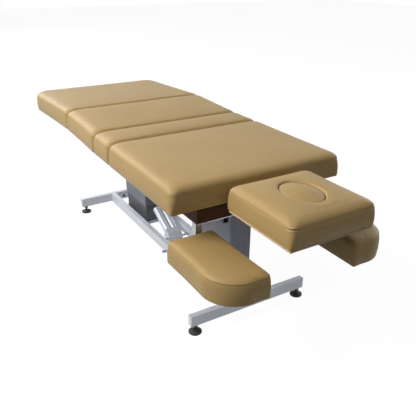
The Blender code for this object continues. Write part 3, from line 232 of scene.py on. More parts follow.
# %% Lamps
# name, place, target, size, power in watts, colour
LAMPS = (
    ("key_lamp", (-3.1, 0.2, 3.0), (0.0, -0.2, 0.5), 2.2, 146.0, (1.0, 0.98, 0.94)),
    ("back_lamp", (-1.6, 8.0, 4.4), (0.0, 0.2, 0.5), 5.2, 290.0, (1.0, 1.0, 1.0)),
    ("front_lamp", (-1.1, -2.7, 3.1), (0.0, -0.7, 0.4), 1.8, 15.0, (1.0, 0.98, 0.95)),
    ("side_lamp", (5.0, 0.5, 1.6), (0.0, 0.0, 0.5), 3.0, 55.0, (0.96, 0.98, 1.0)),
)


def lamp(name, place, target, size, power, colour):
    light = bpy.data.lights.new(name, "AREA")
    light.shape = "DISK"
    light.size = size
    light.energy = power
    light.color = colour
    made = in_scene(name, light)
    made.location = place
    made.rotation_euler = (Vector(target) - Vector(place)).to_track_quat("-Z", "Y").to_euler()


for details in LAMPS:
    lamp(*details)
print("lamps", len(LAMPS))

# %% [markdown]
# ## Finishes
#
# Each finish is a Principled shader with its own grain. A value that is the same all
# over is set on the shader's socket. Only what changes over the surface is wired:
# colour clouds, roughness, fine bump, and wear where an edge is rubbed. The patterns
# read the piece's own coordinates, so they stay with the piece as the table moves.

# %% Finish helpers


class Finish:
    """One material with a Principled shader and short ways to wire a pattern into it."""

    def __init__(self, name, colour, roughness, metallic=0.0, **sockets):
        self.made = bpy.data.materials.new(name)
        self.made.use_nodes = True
        self.tree = self.made.node_tree
        self.shader = self.tree.nodes["Principled BSDF"]
        self.shader.inputs["Base Color"].default_value = (*colour, 1.0)
        self.shader.inputs["Roughness"].default_value = roughness
        self.shader.inputs["Metallic"].default_value = metallic
        for socket, value in sockets.items():
            self.shader.inputs[socket.replace("_", " ")].default_value = value
        self.place = node(self.tree, "ShaderNodeTexCoord").outputs["Object"]
        self.height = None

    def join(self, start, end):
        self.tree.links.new(start, end)

    def stretched(self, scale):
        """The piece's coordinates, scaled along each axis."""
        made = node(self.tree, "ShaderNodeMapping")
        made.inputs["Scale"].default_value = scale
        self.join(self.place, made.inputs["Vector"])
        return made.outputs[0]

    def clouds(self, scale, detail=2.0, stretch=None):
        made = node(self.tree, "ShaderNodeTexNoise")
        made.inputs["Scale"].default_value = scale
        made.inputs["Detail"].default_value = detail
        self.join(self.stretched(stretch) if stretch else self.place, made.inputs["Vector"])
        return made.outputs["Fac"]

    def cells(self, scale):
        made = node(self.tree, "ShaderNodeTexVoronoi", feature="DISTANCE_TO_EDGE")
        made.inputs["Scale"].default_value = scale
        self.join(self.place, made.inputs["Vector"])
        return made.outputs["Distance"]

    def spread(self, source, low, high, start=0.0, end=1.0):
        """Turn a pattern from one range into another."""
        made = node(self.tree, "ShaderNodeMapRange")
        sockets = {"From Min": low, "From Max": high, "To Min": start, "To Max": end}
        for socket, value in sockets.items():
            made.inputs[socket].default_value = value
        self.join(source, made.inputs["Value"])
        return made.outputs[0]

    def between(self, amount, first, second):
        """A colour between two, by an amount that changes over the surface."""
        made = node(self.tree, "ShaderNodeMix", data_type="RGBA")
        for index, colour in ((6, first), (7, second)):
            if isinstance(colour, tuple):
                made.inputs[index].default_value = (*colour, 1.0)
            else:
                self.join(colour, made.inputs[index])
        self.join(amount, made.inputs[0])
        return made.outputs[2]

    def colour(self, source):
        self.join(source, self.shader.inputs["Base Color"])

    def roughness(self, scale, detail, low, high):
        """Roughness that drifts between two values in clouds."""
        source = self.spread(self.clouds(scale, detail), 0.3, 0.7, low, high)
        self.join(source, self.shader.inputs["Roughness"])

    def bump(self, source, distance, strength=1.0):
        """Add a layer of relief over the layers before it."""
        made = node(self.tree, "ShaderNodeBump")
        made.inputs["Distance"].default_value = distance
        made.inputs["Strength"].default_value = strength
        self.join(source, made.inputs["Height"])
        if self.height is not None:
            self.join(self.height, made.inputs["Normal"])
        self.height = made.outputs[0]
        self.join(self.height, self.shader.inputs["Normal"])

    def rubbed(self, low, high):
        """One on worn convex edges and zero on flats and hollows."""
        shape = node(self.tree, "ShaderNodeNewGeometry")
        return self.spread(shape.outputs["Pointiness"], low, high)

    def height_band(self, low, high):
        """Zero below a height of the piece and one above it."""
        parts = node(self.tree, "ShaderNodeSeparateXYZ")
        self.join(self.place, parts.inputs[0])
        return self.spread(parts.outputs["Z"], low, high)


print("finish helpers ready")

# %% [markdown]
# ### Upholstery vinyl
#
# The cover is tan vinyl with a fine leather grain. The grain is small cells with
# soft noise over them, about two millimetres across. A slow cloud shifts the colour
# by a few parts in a hundred, hollows and creases are painted darker as painted shade,
# and rolled edges are paler where they are rubbed.

# %% Vinyl
VINYL = (0.450, 0.305, 0.122)
# the deep brown of the painted shade in hollows and creases
VINYL_PAINTED_SHADE = (0.210, 0.115, 0.030)
VINYL_PALE = (0.540, 0.395, 0.200)


def vinyl(name):
    made = Finish(name, VINYL, 0.46, IOR=1.45, Specular_IOR_Level=0.34)
    drift = made.spread(made.clouds(3.5), 0.35, 0.65)
    shade = made.between(drift, VINYL, tuple(part * 0.93 for part in VINYL))
    worn = made.between(made.rubbed(0.505, 0.545), shade, VINYL_PALE)
    # painted shade: hollows and creases are darkened towards a deep brown
    made.colour(made.between(made.rubbed(0.494, 0.455), worn, VINYL_PAINTED_SHADE))
    made.roughness(60.0, 3.0, 0.41, 0.53)
    made.bump(made.clouds(22.0, 1.0), 0.0012, 0.35)
    made.bump(made.cells(520.0), 0.00025, 0.30)
    made.bump(made.clouds(1400.0), 0.00010, 0.30)
    return made.made


finishes = {"tan_vinyl": vinyl("tan_vinyl")}
print("vinyl", finishes["tan_vinyl"].name)

# %% [markdown]
# ### Coated metal
#
# The pedestal has a pale silver powder coat, and the lifting columns a dark blue-grey
# one. Powder coat has a slight orange-peel relief and tiny flakes. The shrouds are
# formed sheet, so a faint streak runs up them, and the plate at the foot of each
# column is silver like the rails it is welded to.

# %% Powder coats


def powder_coat(name, colour, pale, roughness, metallic, streak):
    made = Finish(name, colour, roughness, metallic, IOR=1.5)
    flakes = made.spread(made.clouds(1800.0, 1.0), 0.42, 0.62)
    speckled = made.between(flakes, tuple(part * 0.94 for part in colour), colour)
    streaks = made.spread(made.clouds(30.0, 4.0, (1.0, 1.0, 0.06)), 0.35, 0.70, 0.0, streak)
    streaked = made.between(streaks, speckled, pale)
    made.colour(made.between(made.rubbed(0.52, 0.60), streaked, pale))
    made.roughness(40.0, 3.0, roughness - 0.06, roughness + 0.08)
    made.bump(made.clouds(420.0, 1.0), 0.0002, 0.25)
    return made


SILVER, SILVER_PALE = (0.50, 0.55, 0.66), (0.72, 0.76, 0.84)
GREY, GREY_PALE = (0.085, 0.090, 0.112), (0.19, 0.20, 0.24)
DARK, DARK_PALE = (0.062, 0.064, 0.073), (0.13, 0.13, 0.14)

silver = powder_coat("silver_paint", SILVER, SILVER_PALE, 0.42, 0.25, 0.12)
shroud = powder_coat("grey_shroud", GREY, GREY_PALE, 0.46, 0.20, 0.60)
column = powder_coat("dark_column", DARK, DARK_PALE, 0.44, 0.20, 0.40)
PLATE_TOP, PLATE_EDGE = 0.0455, 0.0005
dark_above = column.shader.inputs["Base Color"].links[0].from_socket
above_plate = column.height_band(PLATE_TOP, PLATE_TOP + PLATE_EDGE)
column.colour(column.between(above_plate, SILVER, dark_above))
finishes.update(silver_paint=silver.made, grey_shroud=shroud.made, dark_column=column.made)
print("coats", [name for name in finishes])

# %% [markdown]
# ### Wood
#
# Two kinds of wood show. The boards under the cushions are sanded plywood, and the
# apron under the back section is brown wood, painted far darker, near black, as
# painted shade for the shadow under the deck. A stretched noise makes the grain,
# which runs across the deck, and finer noise makes the pores.

# %% Boards and apron
ACROSS = (0.12, 1.0, 1.0)
# colour, dark grain, roughness, pore depth
WOODS = {
    "plywood": ((0.56, 0.42, 0.25), (0.43, 0.30, 0.165), 0.58, 0.5),
    # brown_apron: brown wood darkened to near black as painted shade under the deck
    "brown_apron": ((0.044, 0.017, 0.004), (0.015, 0.005, 0.001), 0.55, 0.3),
}


def wood(name, colour, dark, roughness, pore):
    made = Finish(name, colour, roughness, IOR=1.45, Specular_IOR_Level=0.14)
    grain = made.spread(made.clouds(16.0, 6.0, ACROSS), 0.32, 0.68)
    grained = made.between(grain, dark, colour)
    pores = made.spread(made.clouds(220.0, 3.0, ACROSS), 0.55, 0.75, 0.0, 0.5)
    pored = made.between(pores, grained, tuple(part * 0.6 for part in dark))
    pale = tuple(min(1.0, part * 1.6) for part in colour)
    made.colour(made.between(made.rubbed(0.53, 0.62), pored, pale))
    made.roughness(90.0, 3.0, roughness - 0.08, roughness + 0.10)
    made.bump(made.clouds(240.0, 3.0, ACROSS), 0.0002, pore)
    return made.made


for name, details in WOODS.items():
    finishes[name] = wood(name, *details)
print("wood", list(WOODS))

# %% [markdown]
# ### Small metal, plastic and rubber
#
# Hinges and tubes are zinc plated, with cloudy crystals and fine draw lines. The gas
# strut rods and headrest posts are polished. The drive and control box are moulded
# black plastic with a spark texture, and the feet are dull rubber.

# %% Plated and polished metal


def plated(name, colour, dark, roughness):
    made = Finish(name, colour, roughness, 0.9)
    cloud = made.spread(made.clouds(45.0, 4.0), 0.3, 0.7)
    made.colour(made.between(cloud, dark, colour))
    made.roughness(160.0, 2.0, roughness - 0.07, roughness + 0.10)
    made.bump(made.clouds(500.0, 2.0), 0.0001, 0.2)
    return made.made


finishes["zinc_steel"] = plated("zinc_steel", (0.55, 0.56, 0.57), (0.42, 0.43, 0.45), 0.36)
finishes["chrome_rod"] = plated("chrome_rod", (0.82, 0.82, 0.83), (0.76, 0.76, 0.77), 0.15)
print("plated", finishes["zinc_steel"].name, finishes["chrome_rod"].name)

# %% Plastic, rubber and nylon
# colour, pale wear, roughness, scale of the texture
MOULDINGS = {
    "black_plastic": ((0.014, 0.014, 0.015), (0.035, 0.035, 0.037), 0.48, 900.0),
    "black_rubber": ((0.012, 0.012, 0.013), (0.040, 0.040, 0.042), 0.62, 500.0),
    "white_nylon": ((0.72, 0.72, 0.69), (0.80, 0.80, 0.78), 0.45, 700.0),
}


def moulded(name, colour, pale, roughness, scale):
    made = Finish(name, colour, roughness, IOR=1.48)
    cloud = made.spread(made.clouds(30.0, 3.0), 0.35, 0.65, 0.0, 0.35)
    made.colour(made.between(made.rubbed(0.52, 0.60), made.between(cloud, colour, pale), pale))
    made.roughness(120.0, 2.0, roughness - 0.06, roughness + 0.10)
    made.bump(made.clouds(scale, 2.0), 0.00015, 0.5)
    return made.made


for name, details in MOULDINGS.items():
    finishes[name] = moulded(name, *details)
print("moulded", list(MOULDINGS))

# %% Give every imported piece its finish
for part in frame["record"]["subparts"]:
    made = frame["nodes"][part["node"]]
    made.material_slots[0].material = finishes[part["material_slot"]]

# %% [markdown]
# ## Cushions
#
# A cushion here is a sheet of vinyl pulled over a foam block and stapled under its
# board. Its outline is a rectangle with rounded corners, and its top edge is a roll
# that is wide along the outer sides and narrow where two sections meet.
#
# A rounded block could be made by bevelling a cube, but its corners would pinch and
# its faces would be far too large to swell like cloth. Instead the skin is laid out
# as rings round the outline, from the underside up over the roll, with a patch of
# quads in the middle of the top and of the underside. All quads are about the same
# size, which is what a cloth simulation needs.

# %% Pad outline
ROW_SHIFT = -0.67648
CORNER_SIDES = ((1, 1, 0), (-1, 1, 90), (-1, -1, 180), (1, -1, 270))


def plan_of(low, high, radii, feet, spacing, halves=(2, 2, 2, 2)):
    """The outline of a pad, and how many steps each corner and each side takes.

    The corners are sharp at the board and rounder at the roll, so each has two radii.
    """
    wide, deep = high[0] - low[0], high[1] - low[1]
    straights = []
    for index, side in enumerate((wide, deep, wide, deep)):
        straights.append(side - radii[index] - radii[(index + 1) % 4])
    ends = [halves[index] + halves[(index + 1) % 4] for index in range(4)]
    counts = [max(1, round(run / spacing)) + end for run, end in zip(straights, ends)]
    totals = [max(counts[index], counts[(index + 2) % 4]) for index in range(4)]
    runs = [total - end for total, end in zip(totals, ends)]
    return {
        "low": low, "high": high, "radii": np.array(radii), "feet": np.array(feet),
        "halves": halves, "runs": runs, "totals": totals,
    }


def outline(plan, inset=(0.0, 0.0, 0.0), radii=None):
    """Points, outward directions and side shares once round a pad.

    The inset is from the sides, the head end and the foot end.
    """
    radii = plan["radii"] if radii is None else radii
    low = (plan["low"][0] + inset[0], plan["low"][1] + inset[1])
    high = (plan["high"][0] - inset[0], plan["high"][1] - inset[2])
    centres = []
    for (to_x, to_y, _), radius in zip(CORNER_SIDES, radii):
        x = high[0] - radius if to_x > 0 else low[0] + radius
        y = high[1] - radius if to_y > 0 else low[1] + radius
        centres.append(np.array((x, y)))
    points, outward, shares = [], [], []
    for index, (_, _, start) in enumerate(CORNER_SIDES):
        steps = 2 * plan["halves"][index]
        for step in range(steps + 1):
            turn = math.radians(start + 90 * step / steps)
            away = np.array((math.cos(turn), math.sin(turn)))
            points.append(centres[index] + radii[index] * away)
            outward.append(away)
            shares.append(0.0)
        ahead = (index + 1) % 4
        first, last = points[-1], centres[ahead] + radii[ahead] * outward[-1]
        away = outward[-1]
        for step in range(1, plan["runs"][index]):
            share = step / plan["runs"][index]
            points.append(first + (last - first) * share)
            outward.append(away)
            shares.append(share)
    return np.array(points), np.array(outward), np.array(shares)


print("pad outline ready")

# %% [markdown]
# The patch in the middle is blended from the four sides of its rim. Each point is the
# sum of the straight blends across and along, less the blend of the four corners.

# %% Pad skin


def band(lower, upper, count):
    """The quads between two closed rings, each named by its first point."""
    quads = []
    for step in range(count):
        after = (step + 1) % count
        quads.append((lower + step, lower + after, upper + after, upper + step))
    return quads


def mesh_of(name, points, faces):
    mesh = bpy.data.meshes.new(name)
    mesh.from_pydata(points, [], faces)
    mesh.validate()
    print(name, "has", len(points), "points")
    return mesh


class Skin:
    """A closed skin grown ring by ring round an outline."""

    def __init__(self, plan):
        self.plan = plan
        self.count = 2 * sum(plan["halves"]) + sum(plan["runs"])
        self.points, self.faces = [], []

    def ring(self, flat, height):
        """Add a ring above the last one, and the band of quads between them."""
        start = len(self.points)
        self.points += [(x, y, z) for (x, y), z in zip(flat, np.broadcast_to(height, len(flat)))]
        if start:
            self.faces += band(start - self.count, start, self.count)
        return start

    def close(self, start):
        """Join the last ring to the first, for a pad with a hole."""
        self.faces += band(start, 0, self.count)

    def patch(self, start, height_at, upward):
        """Fill a ring with a grid of quads."""
        middles, passed = [], 0
        for half, run in zip(self.plan["halves"], self.plan["runs"]):
            middles.append(passed + half)
            passed += 2 * half + run
        sides = []
        for index in range(4):
            first = middles[index]
            steps = self.plan["totals"][index]
            sides.append([start + (first + step) % self.count for step in range(steps + 1)])
        across, along = self.plan["totals"][0], self.plan["totals"][1]
        grid = np.zeros((across + 1, along + 1), int)
        grid[:, 0], grid[:, along] = sides[2], sides[0][::-1]
        grid[0, :], grid[across, :] = sides[1][::-1], sides[3]
        rim = np.array(self.points)[:, :2]
        for i in range(1, across):
            u = i / across
            for j in range(1, along):
                v = j / along
                place = (1 - v) * rim[grid[i, 0]] + v * rim[grid[i, along]]
                place = place + (1 - u) * rim[grid[0, j]] + u * rim[grid[across, j]]
                place = place - (1 - u) * (1 - v) * rim[grid[0, 0]] - u * (1 - v) * rim[grid[across, 0]]
                place = place - (1 - u) * v * rim[grid[0, along]] - u * v * rim[grid[across, along]]
                grid[i, j] = len(self.points)
                self.points.append((place[0], place[1], height_at(place[0], place[1])))
        for i in range(across):
            for j in range(along):
                corners = (grid[i, j], grid[i + 1, j], grid[i + 1, j + 1], grid[i, j + 1])
                self.faces.append(tuple(int(c) for c in (corners if upward else corners[::-1])))


print("pad skin ready")

# %% [markdown]
# One function grows every cushion. It starts under the pad and, where the cover wraps
# a board, it first runs down round the board's edge as a thin skirt. Then it climbs
# the side, which swells a little at half height and pulls in between its corners. The
# corners grow rounder on the way up. Over the edge it follows a quarter of an ellipse,
# wide along the outer sides and narrow where two sections meet. It ends in a low
# crown. A seam is a ring at the shoulder that is drawn in.

# %% Grow a cushion
SKIRT_INNER = 0.0053
SKIRT_ROUND = 0.0022
UNDER_RIM = 0.030
PULL_IN = 0.0016
BULGE = 0.0035
SEAM_HALF = 0.0028
ROLL_STEPS = 7
INNER_CORNER = 0.034
LEAST_RADIUS = 0.003
RING_SPACING, LEAST_RINGS = 0.010, 3
TOP_RINGS = (0.012, 0.024)
CROWN_POWER = 2.6


def crown_at(plan, roll, top, crown):
    """The height of a crowned top at a place on it."""
    side, head, foot = roll
    low = (plan["low"][0] + side, plan["low"][1] + head)
    high = (plan["high"][0] - side, plan["high"][1] - foot)
    middle = [(start + end) / 2 for start, end in zip(low, high)]
    reach = [(end - start) / 2 for start, end in zip(low, high)]

    def height(x, y):
        across = np.clip(1 - np.abs((x - middle[0]) / reach[0]) ** CROWN_POWER, 0, 1)
        along = np.clip(1 - np.abs((y - middle[1]) / reach[1]) ** CROWN_POWER, 0, 1)
        return top + crown * across * along

    return height


def quarter(steps):
    """How far in and how far below the top each step of a quarter turn is, as shares."""
    for step in range(1, steps + 1):
        turn = math.pi / 2 * step / steps
        yield 1 - math.cos(turn), 1 - math.sin(turn)


def inner_radii(plan, roll):
    """The corner radii at the end of the roll."""
    return np.maximum(plan["radii"] - roll[0], INNER_CORNER)


def side_rings(skin, plan, low, top, roll, rise, skirt_low, seam, bulge):
    """Rings from the underside to the start of the top; returns the last one.

    The three bulges are those of the sides, the head end and the foot end.
    """
    feet, radii, inner = plan["feet"], plan["radii"], inner_radii(plan, roll)

    def put(height, corner, push=0.0, inset=(0.0, 0.0, 0.0), full=0.0):
        flat, outward, shares = outline(plan, inset, np.maximum(corner, LEAST_RADIUS))
        end = np.where(outward[:, 1] < 0, bulge[1], bulge[2])
        swelled = full * (bulge[0] * outward[:, 0] ** 2 + end * outward[:, 1] ** 2)
        pull = PULL_IN * np.sin(math.pi * shares)
        return skin.ring(flat + outward * (push + swelled - pull)[:, None], height)

    start = low
    if skirt_low is not None:
        inset = (SKIRT_INNER, SKIRT_INNER, SKIRT_INNER)
        put(low, feet - SKIRT_INNER, 0.0, inset)
        put(skirt_low + SKIRT_ROUND / 2, feet - SKIRT_INNER, 0.0, inset)
        put(skirt_low, feet - SKIRT_INNER, SKIRT_ROUND / 2, inset)
        start = skirt_low
    put(start, feet, -2 * SKIRT_ROUND / 3)
    put(start + SKIRT_ROUND / 3, feet, -SKIRT_ROUND / 6)
    foot, shoulder = start + 2 * SKIRT_ROUND, top - rise
    steps = max(LEAST_RINGS, round((shoulder - SEAM_HALF - foot) / RING_SPACING))
    for step in range(steps + 1):
        share = step / steps
        height = foot + (shoulder - SEAM_HALF - foot) * share
        put(height, feet + (radii - feet) * share, full=math.sin(math.pi * share))
    put(shoulder, radii, -seam)
    for share, drop in quarter(ROLL_STEPS):
        inset = [edge * share for edge in roll]
        last = put(top - rise * drop, radii + (inner - radii) * share, 0.0, inset)
    return last


print("cushion side ready")

# %% Grow a whole pad


def pad_mesh(name, plan, low, top, roll, rise, crown, skirt_low, seam, bulge):
    """A closed cushion with a patch above and below."""
    skin = Skin(plan)
    corners = np.maximum(plan["feet"] - UNDER_RIM, UNDER_RIM / 2)
    under, _, _ = outline(plan, [UNDER_RIM] * 3, corners)
    start = skin.ring(under, low)
    side_rings(skin, plan, low, top, roll, rise, skirt_low, seam, bulge)
    height = crown_at(plan, roll, top, crown)
    for space in TOP_RINGS:
        corners = inner_radii(plan, roll) + space / 2
        ring, _, _ = outline(plan, [edge + space for edge in roll], corners)
        last = skin.ring(ring, height(ring[:, 0], ring[:, 1]))
    skin.patch(last, height, True)
    skin.patch(start, lambda x, y: low, False)
    return mesh_of(name, skin.points, skin.faces)


print("whole pads ready")

# %% [markdown]
# The headrest pad goes round a face opening, so it has no patch. Its rings run from
# the outside over the top to the rim of the oval, down the wall of the opening, and
# back along the underside to where they began, like the skin of a ring doughnut.

# %% Grow a pad with a face opening
RIM_ROLL = 0.006
RIM_STEPS = 3
TOP_BANDS = 9
WALL_SHARES = (0.25, 0.5, 0.75, 1.0)
HOLED_UNDER = 0.010


def oval_round(plan, middle, half_width, half_length):
    """An oval with a point for each point of a pad's outline, and its outward directions."""
    flat, _, _ = outline(plan)
    x, y = (flat - middle).T
    turn = np.arctan2(y / half_length, x / half_width)
    x, y = half_width * np.cos(turn), half_length * np.sin(turn)
    points = np.stack((middle[0] + x, middle[1] + y), axis=1)
    away = np.stack((np.cos(turn) / half_width, np.sin(turn) / half_length), axis=1)
    return points, away / np.linalg.norm(away, axis=1)[:, None]


def holed_pad_mesh(name, plan, low, top, roll, rise, crown, oval, seam, bulge):
    """A closed cushion with an oval opening right through it."""
    skin = Skin(plan)
    rim, away = oval_round(plan, *oval)
    under, _, _ = outline(plan, [UNDER_RIM] * 3, [HOLED_UNDER] * 4)
    skin.ring(under, low)
    last = side_rings(skin, plan, low, top, roll, rise, None, seam, bulge)
    outer = np.array(skin.points[last:])[:, :2]
    inner = rim + away * RIM_ROLL
    height = crown_at(plan, roll, top, crown)
    for step in range(1, TOP_BANDS + 1):
        ring = outer + (inner - outer) * step / TOP_BANDS
        level = height(ring[:, 0], ring[:, 1])
        skin.ring(ring, level)
    for drop, outside in quarter(RIM_STEPS):
        skin.ring(rim + away * RIM_ROLL * outside, level - RIM_ROLL * drop)
    wall_top = level - RIM_ROLL
    for share in WALL_SHARES:
        last = skin.ring(rim, wall_top + (low - wall_top) * share)
    skin.close(last)
    return mesh_of(name, skin.points, skin.faces)


print("pads with an opening ready")

# %% [markdown]
# ### Swelling
#
# Foam pushes its cover out, and the cover is held where it is stapled. The Cloth
# simulation does this: the skin gets a small pressure from inside and no gravity, its
# underside is pinned, and twenty frames let it settle. Foam stops a cover from
# ballooning, so each point may move only a few millimetres, and less at an end face
# that has the next section beside it. The result is written into the mesh.

# %% Swell a skin
SWELL_FRAMES = 20
SWELL_PRESSURE = 4.0
SWELL_LIMIT = 0.0030
SHRINK_LIMIT = 0.0004
ALONG_SHARE = 0.35
EVENING_STEPS = 6
CLOTH_QUALITY = 4
TINY = 1e-9


def rows_of(mesh, field):
    """A mesh's coordinates or normals, one row for each point."""
    flat = np.zeros(len(mesh.vertices) * 3)
    mesh.vertices.foreach_get(field, flat)
    return flat.reshape(-1, 3)


def put_coordinates(mesh, points):
    mesh.vertices.foreach_set("co", points.ravel())
    mesh.update()


def evened(mesh, moved):
    """Spread each point's motion over its neighbours, as foam under vinyl does."""
    ends = np.zeros(len(mesh.edges) * 2, int)
    mesh.edges.foreach_get("vertices", ends)
    first, second = ends.reshape(-1, 2).T
    for _ in range(EVENING_STEPS):
        total, count = moved.copy(), np.ones(len(moved))
        for here, there in ((first, second), (second, first)):
            np.add.at(total, here, moved[there])
            np.add.at(count, here, 1)
        moved = total / count[:, None]
    return moved


def swell(made, pin_below, limits):
    """Let the skin settle under pressure, then keep each point near where it began.

    The limits are how far the cover may move sideways, to the head and to the foot.
    """
    start = rows_of(made.data, "co")
    held = made.vertex_groups.new(name="stapled")
    held.add([int(i) for i in np.nonzero(start[:, 2] < pin_below)[0]], 1.0, "REPLACE")
    cloth = made.modifiers.new("swell", "CLOTH")
    cloth.settings.quality = CLOTH_QUALITY
    cloth.settings.vertex_group_mass = "stapled"
    cloth.settings.use_pressure = True
    cloth.settings.uniform_pressure_force = SWELL_PRESSURE
    cloth.settings.effector_weights.gravity = 0
    cloth.collision_settings.use_collision = False
    cloth.point_cache.frame_start, cloth.point_cache.frame_end = 1, SWELL_FRAMES
    scene = bpy.context.scene
    for frame_number in range(1, SWELL_FRAMES + 1):
        scene.frame_set(frame_number)
    settled = made.evaluated_get(bpy.context.evaluated_depsgraph_get())
    moved = rows_of(settled.data, "co") - start
    made.modifiers.remove(cloth)
    made.vertex_groups.remove(held)
    scene.frame_set(1)
    away = rows_of(made.data, "normal")
    out = (moved * away).sum(axis=1)
    kept_out = np.maximum(out, -SHRINK_LIMIT)[:, None]
    moved = ALONG_SHARE * (moved - away * out[:, None]) + away * kept_out
    length = np.linalg.norm(moved, axis=1)
    moved *= np.minimum(1.0, SWELL_LIMIT / np.maximum(length, TINY))[:, None]
    moved = evened(made.data, moved)
    moved[:, 0] = np.clip(moved[:, 0], -limits[0], limits[0])
    moved[:, 1] = np.clip(moved[:, 1], -limits[1], limits[2])
    put_coordinates(made.data, start + moved)
    most = float(np.linalg.norm(moved, axis=1).max())
    print(made.name, "swelled by up to", round(most * 1000, 2), "mm")


print("swelling ready, with", SWELL_FRAMES, "frames")

# %% [markdown]
# ### Folds
#
# Where the cover turns a corner there is more vinyl than it needs, and the spare is
# pressed into small folds. A fold is a line in the skin that is pushed in, with a low
# ridge beside it. Gathers are a row of short folds under a seam that runs round a
# tight bend. Both are made on the subdivided skin, where its points are close enough
# together to carry them.

# %% Fold helpers
RIDGE_SHARE, RIDGE_PLACE, FOLD_REACH = 0.55, 1.9, 3
GATHER_INSIDE, GATHER_DROP, GATHER_SPREAD = 0.88, 0.006, 0.0075


def fold(points, outward, place, along, length, width, depth):
    """Press one line into the skin and raise the skin beside it."""
    along = np.array(along, float)
    along /= np.linalg.norm(along)
    offset = points - np.array(place, float)
    run = offset @ along
    face = outward[np.argmin(np.linalg.norm(offset, axis=1))]
    beside = np.cross(face, along)
    rise = offset @ beside
    near = np.exp(-((run / length) ** 2))
    near = near * np.exp(-((offset @ face) / (FOLD_REACH * length)) ** 2)
    ridge = np.exp(-(((rise - RIDGE_PLACE * width) / width) ** 2))
    line = np.exp(-((rise / width) ** 2)) - RIDGE_SHARE * ridge
    return points - outward * (depth * near * line)[:, None]


def gathers(points, outward, centre, radius, span, level, pitch, depth):
    """A row of short upright folds round a bend, just under a seam."""
    offset = points[:, :2] - np.array(centre)
    turn = np.degrees(np.arctan2(offset[:, 1], offset[:, 0]))
    turn = np.where(turn > 90, turn - 360, turn)
    middle, reach = (span[0] + span[1]) / 2, abs(span[1] - span[0]) / 2
    window = np.exp(-(((turn - middle) / reach) ** 6))
    window = window * (np.linalg.norm(offset, axis=1) > radius * GATHER_INSIDE)
    under = np.exp(-(((points[:, 2] - level + GATHER_DROP) / GATHER_SPREAD) ** 2))
    wave = np.cos(np.radians(turn) * radius * math.pi / pitch) ** 4
    return points - outward * (depth * window * under * wave)[:, None]


def ripple(points, outward, size):
    """The slight unevenness of a hand-pulled cover, on its sides only."""
    x, y, z = points.T
    # crossed waves between a tenth and a third of a metre long
    wave = np.sin(31 * x + 17 * z) * np.sin(23 * y + 1.3) + 0.6 * np.sin(57 * y - 29 * z + 0.4)
    steep = 1 - np.abs(outward[:, 2])
    return points + outward * (size * wave * steep)[:, None]


print("fold helpers ready")

# %% [markdown]
# ### Slots for the hinge plates
#
# The raised hinge plates stand in narrow slots at the ends of three sections. The
# slots are cut from the finished skins with a Boolean, because they are hidden, have
# flat walls and need no softness.

# %% Cut slots
SLOT_X = (0.2339, 0.2552)
SLOT_ROOF_HEIGHT = 0.6475
SLOT_DEPTH = 0.052
SLOT_BELOW = 0.55
SLOT_PAST_END = 0.010


def add_block(builder, low, high):
    """Add a block between two corners to a mesh that is being built."""
    middle = [(start + end) / 2 for start, end in zip(low, high)]
    size = [end - start for start, end in zip(low, high)]
    place = Matrix.Translation(middle) @ Matrix.Diagonal((*size, 1.0))
    bmesh.ops.create_cube(builder, size=1.0, matrix=place)


def built(builder, name):
    mesh = bpy.data.meshes.new(name)
    builder.to_mesh(mesh)
    builder.free()
    return mesh


def slot_cutter(name, stretches):
    """Blocks on both sides of the deck, one pair for each stretch along it."""
    cutter = bmesh.new()
    for start, end in stretches:
        for side in (1, -1):
            near, far = sorted((side * SLOT_X[0], side * SLOT_X[1]))
            add_block(cutter, (near, start, SLOT_BELOW), (far, end, SLOT_ROOF_HEIGHT))
    return in_scene(name, built(cutter, name))


def applied(made):
    """Write a piece's modifiers into its mesh."""
    seen = made.evaluated_get(bpy.context.evaluated_depsgraph_get())
    mesh = bpy.data.meshes.new_from_object(seen)
    made.modifiers.clear()
    made.data = mesh


def subdivided(made, levels):
    finer = made.modifiers.new("finer", "SUBSURF")
    finer.levels = finer.render_levels = levels
    applied(made)


def slotted(made, stretches):
    cutter = slot_cutter(made.name + "_cutter", stretches)
    cut = made.modifiers.new("slots", "BOOLEAN")
    cut.object = cutter
    cut.operation = "DIFFERENCE"
    cut.solver = "EXACT"
    applied(made)
    bpy.data.objects.remove(cutter, do_unlink=True)


print("slots from", SLOT_X[0], "to", SLOT_X[1], "m each side of the middle")

# %% [markdown]
# ### Making one cushion
#
# Every cushion goes through the same steps: grow the skin, let it swell, subdivide it,
# press its folds, cut its slots, tilt it with its section, and hand it to the body
# that carries it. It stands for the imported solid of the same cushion, which is then
# not shown.

# %% Cushion steps
UNEVEN = 0.0003
CREASE_ANGLE = math.radians(50)
FREE = (SWELL_LIMIT, SWELL_LIMIT, SWELL_LIMIT)


def cushion(
    mesh, stands_for, rides_on, pin_below, limits=FREE, folds=(), slots=(), tilt=None, levels=1
):
    """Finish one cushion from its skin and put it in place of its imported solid."""
    name = mesh.name
    made = in_scene(name, mesh)
    swell(made, pin_below, limits)
    subdivided(made, levels)
    points, outward = rows_of(made.data, "co"), rows_of(made.data, "normal")
    points = ripple(points, outward, UNEVEN)
    for shape, details in folds:
        points = shape(points, outward, *details)
    put_coordinates(made.data, points)
    if slots:
        slotted(made, slots)
    shift = Matrix.Translation((0.0, ROW_SHIFT, 0.0))
    made.data.transform(shift @ (tilt or Matrix.Identity(4)))
    made.data.shade_smooth()
    made.data.set_sharp_from_angle(angle=CREASE_ANGLE)
    made.data.materials.clear()
    made.data.materials.append(finishes["tan_vinyl"])
    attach(made, rides_on)
    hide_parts(stands_for)
    print(name, "has", len(made.data.polygons), "faces")
    return made


print("cushion steps ready")

# %% [markdown]
# ## The four sections
#
# The back, seat, thigh and foot cushions share one width and height. Their covers
# wrap the edges of their boards, so in the picture vinyl reaches right down to the
# underside. The ends that meet have a tight roll, which closes each joint to a thin
# dark crease, and the head end and foot end have the same wide roll as the sides. At
# rest the two leg sections slope a little, as the photographed table does.

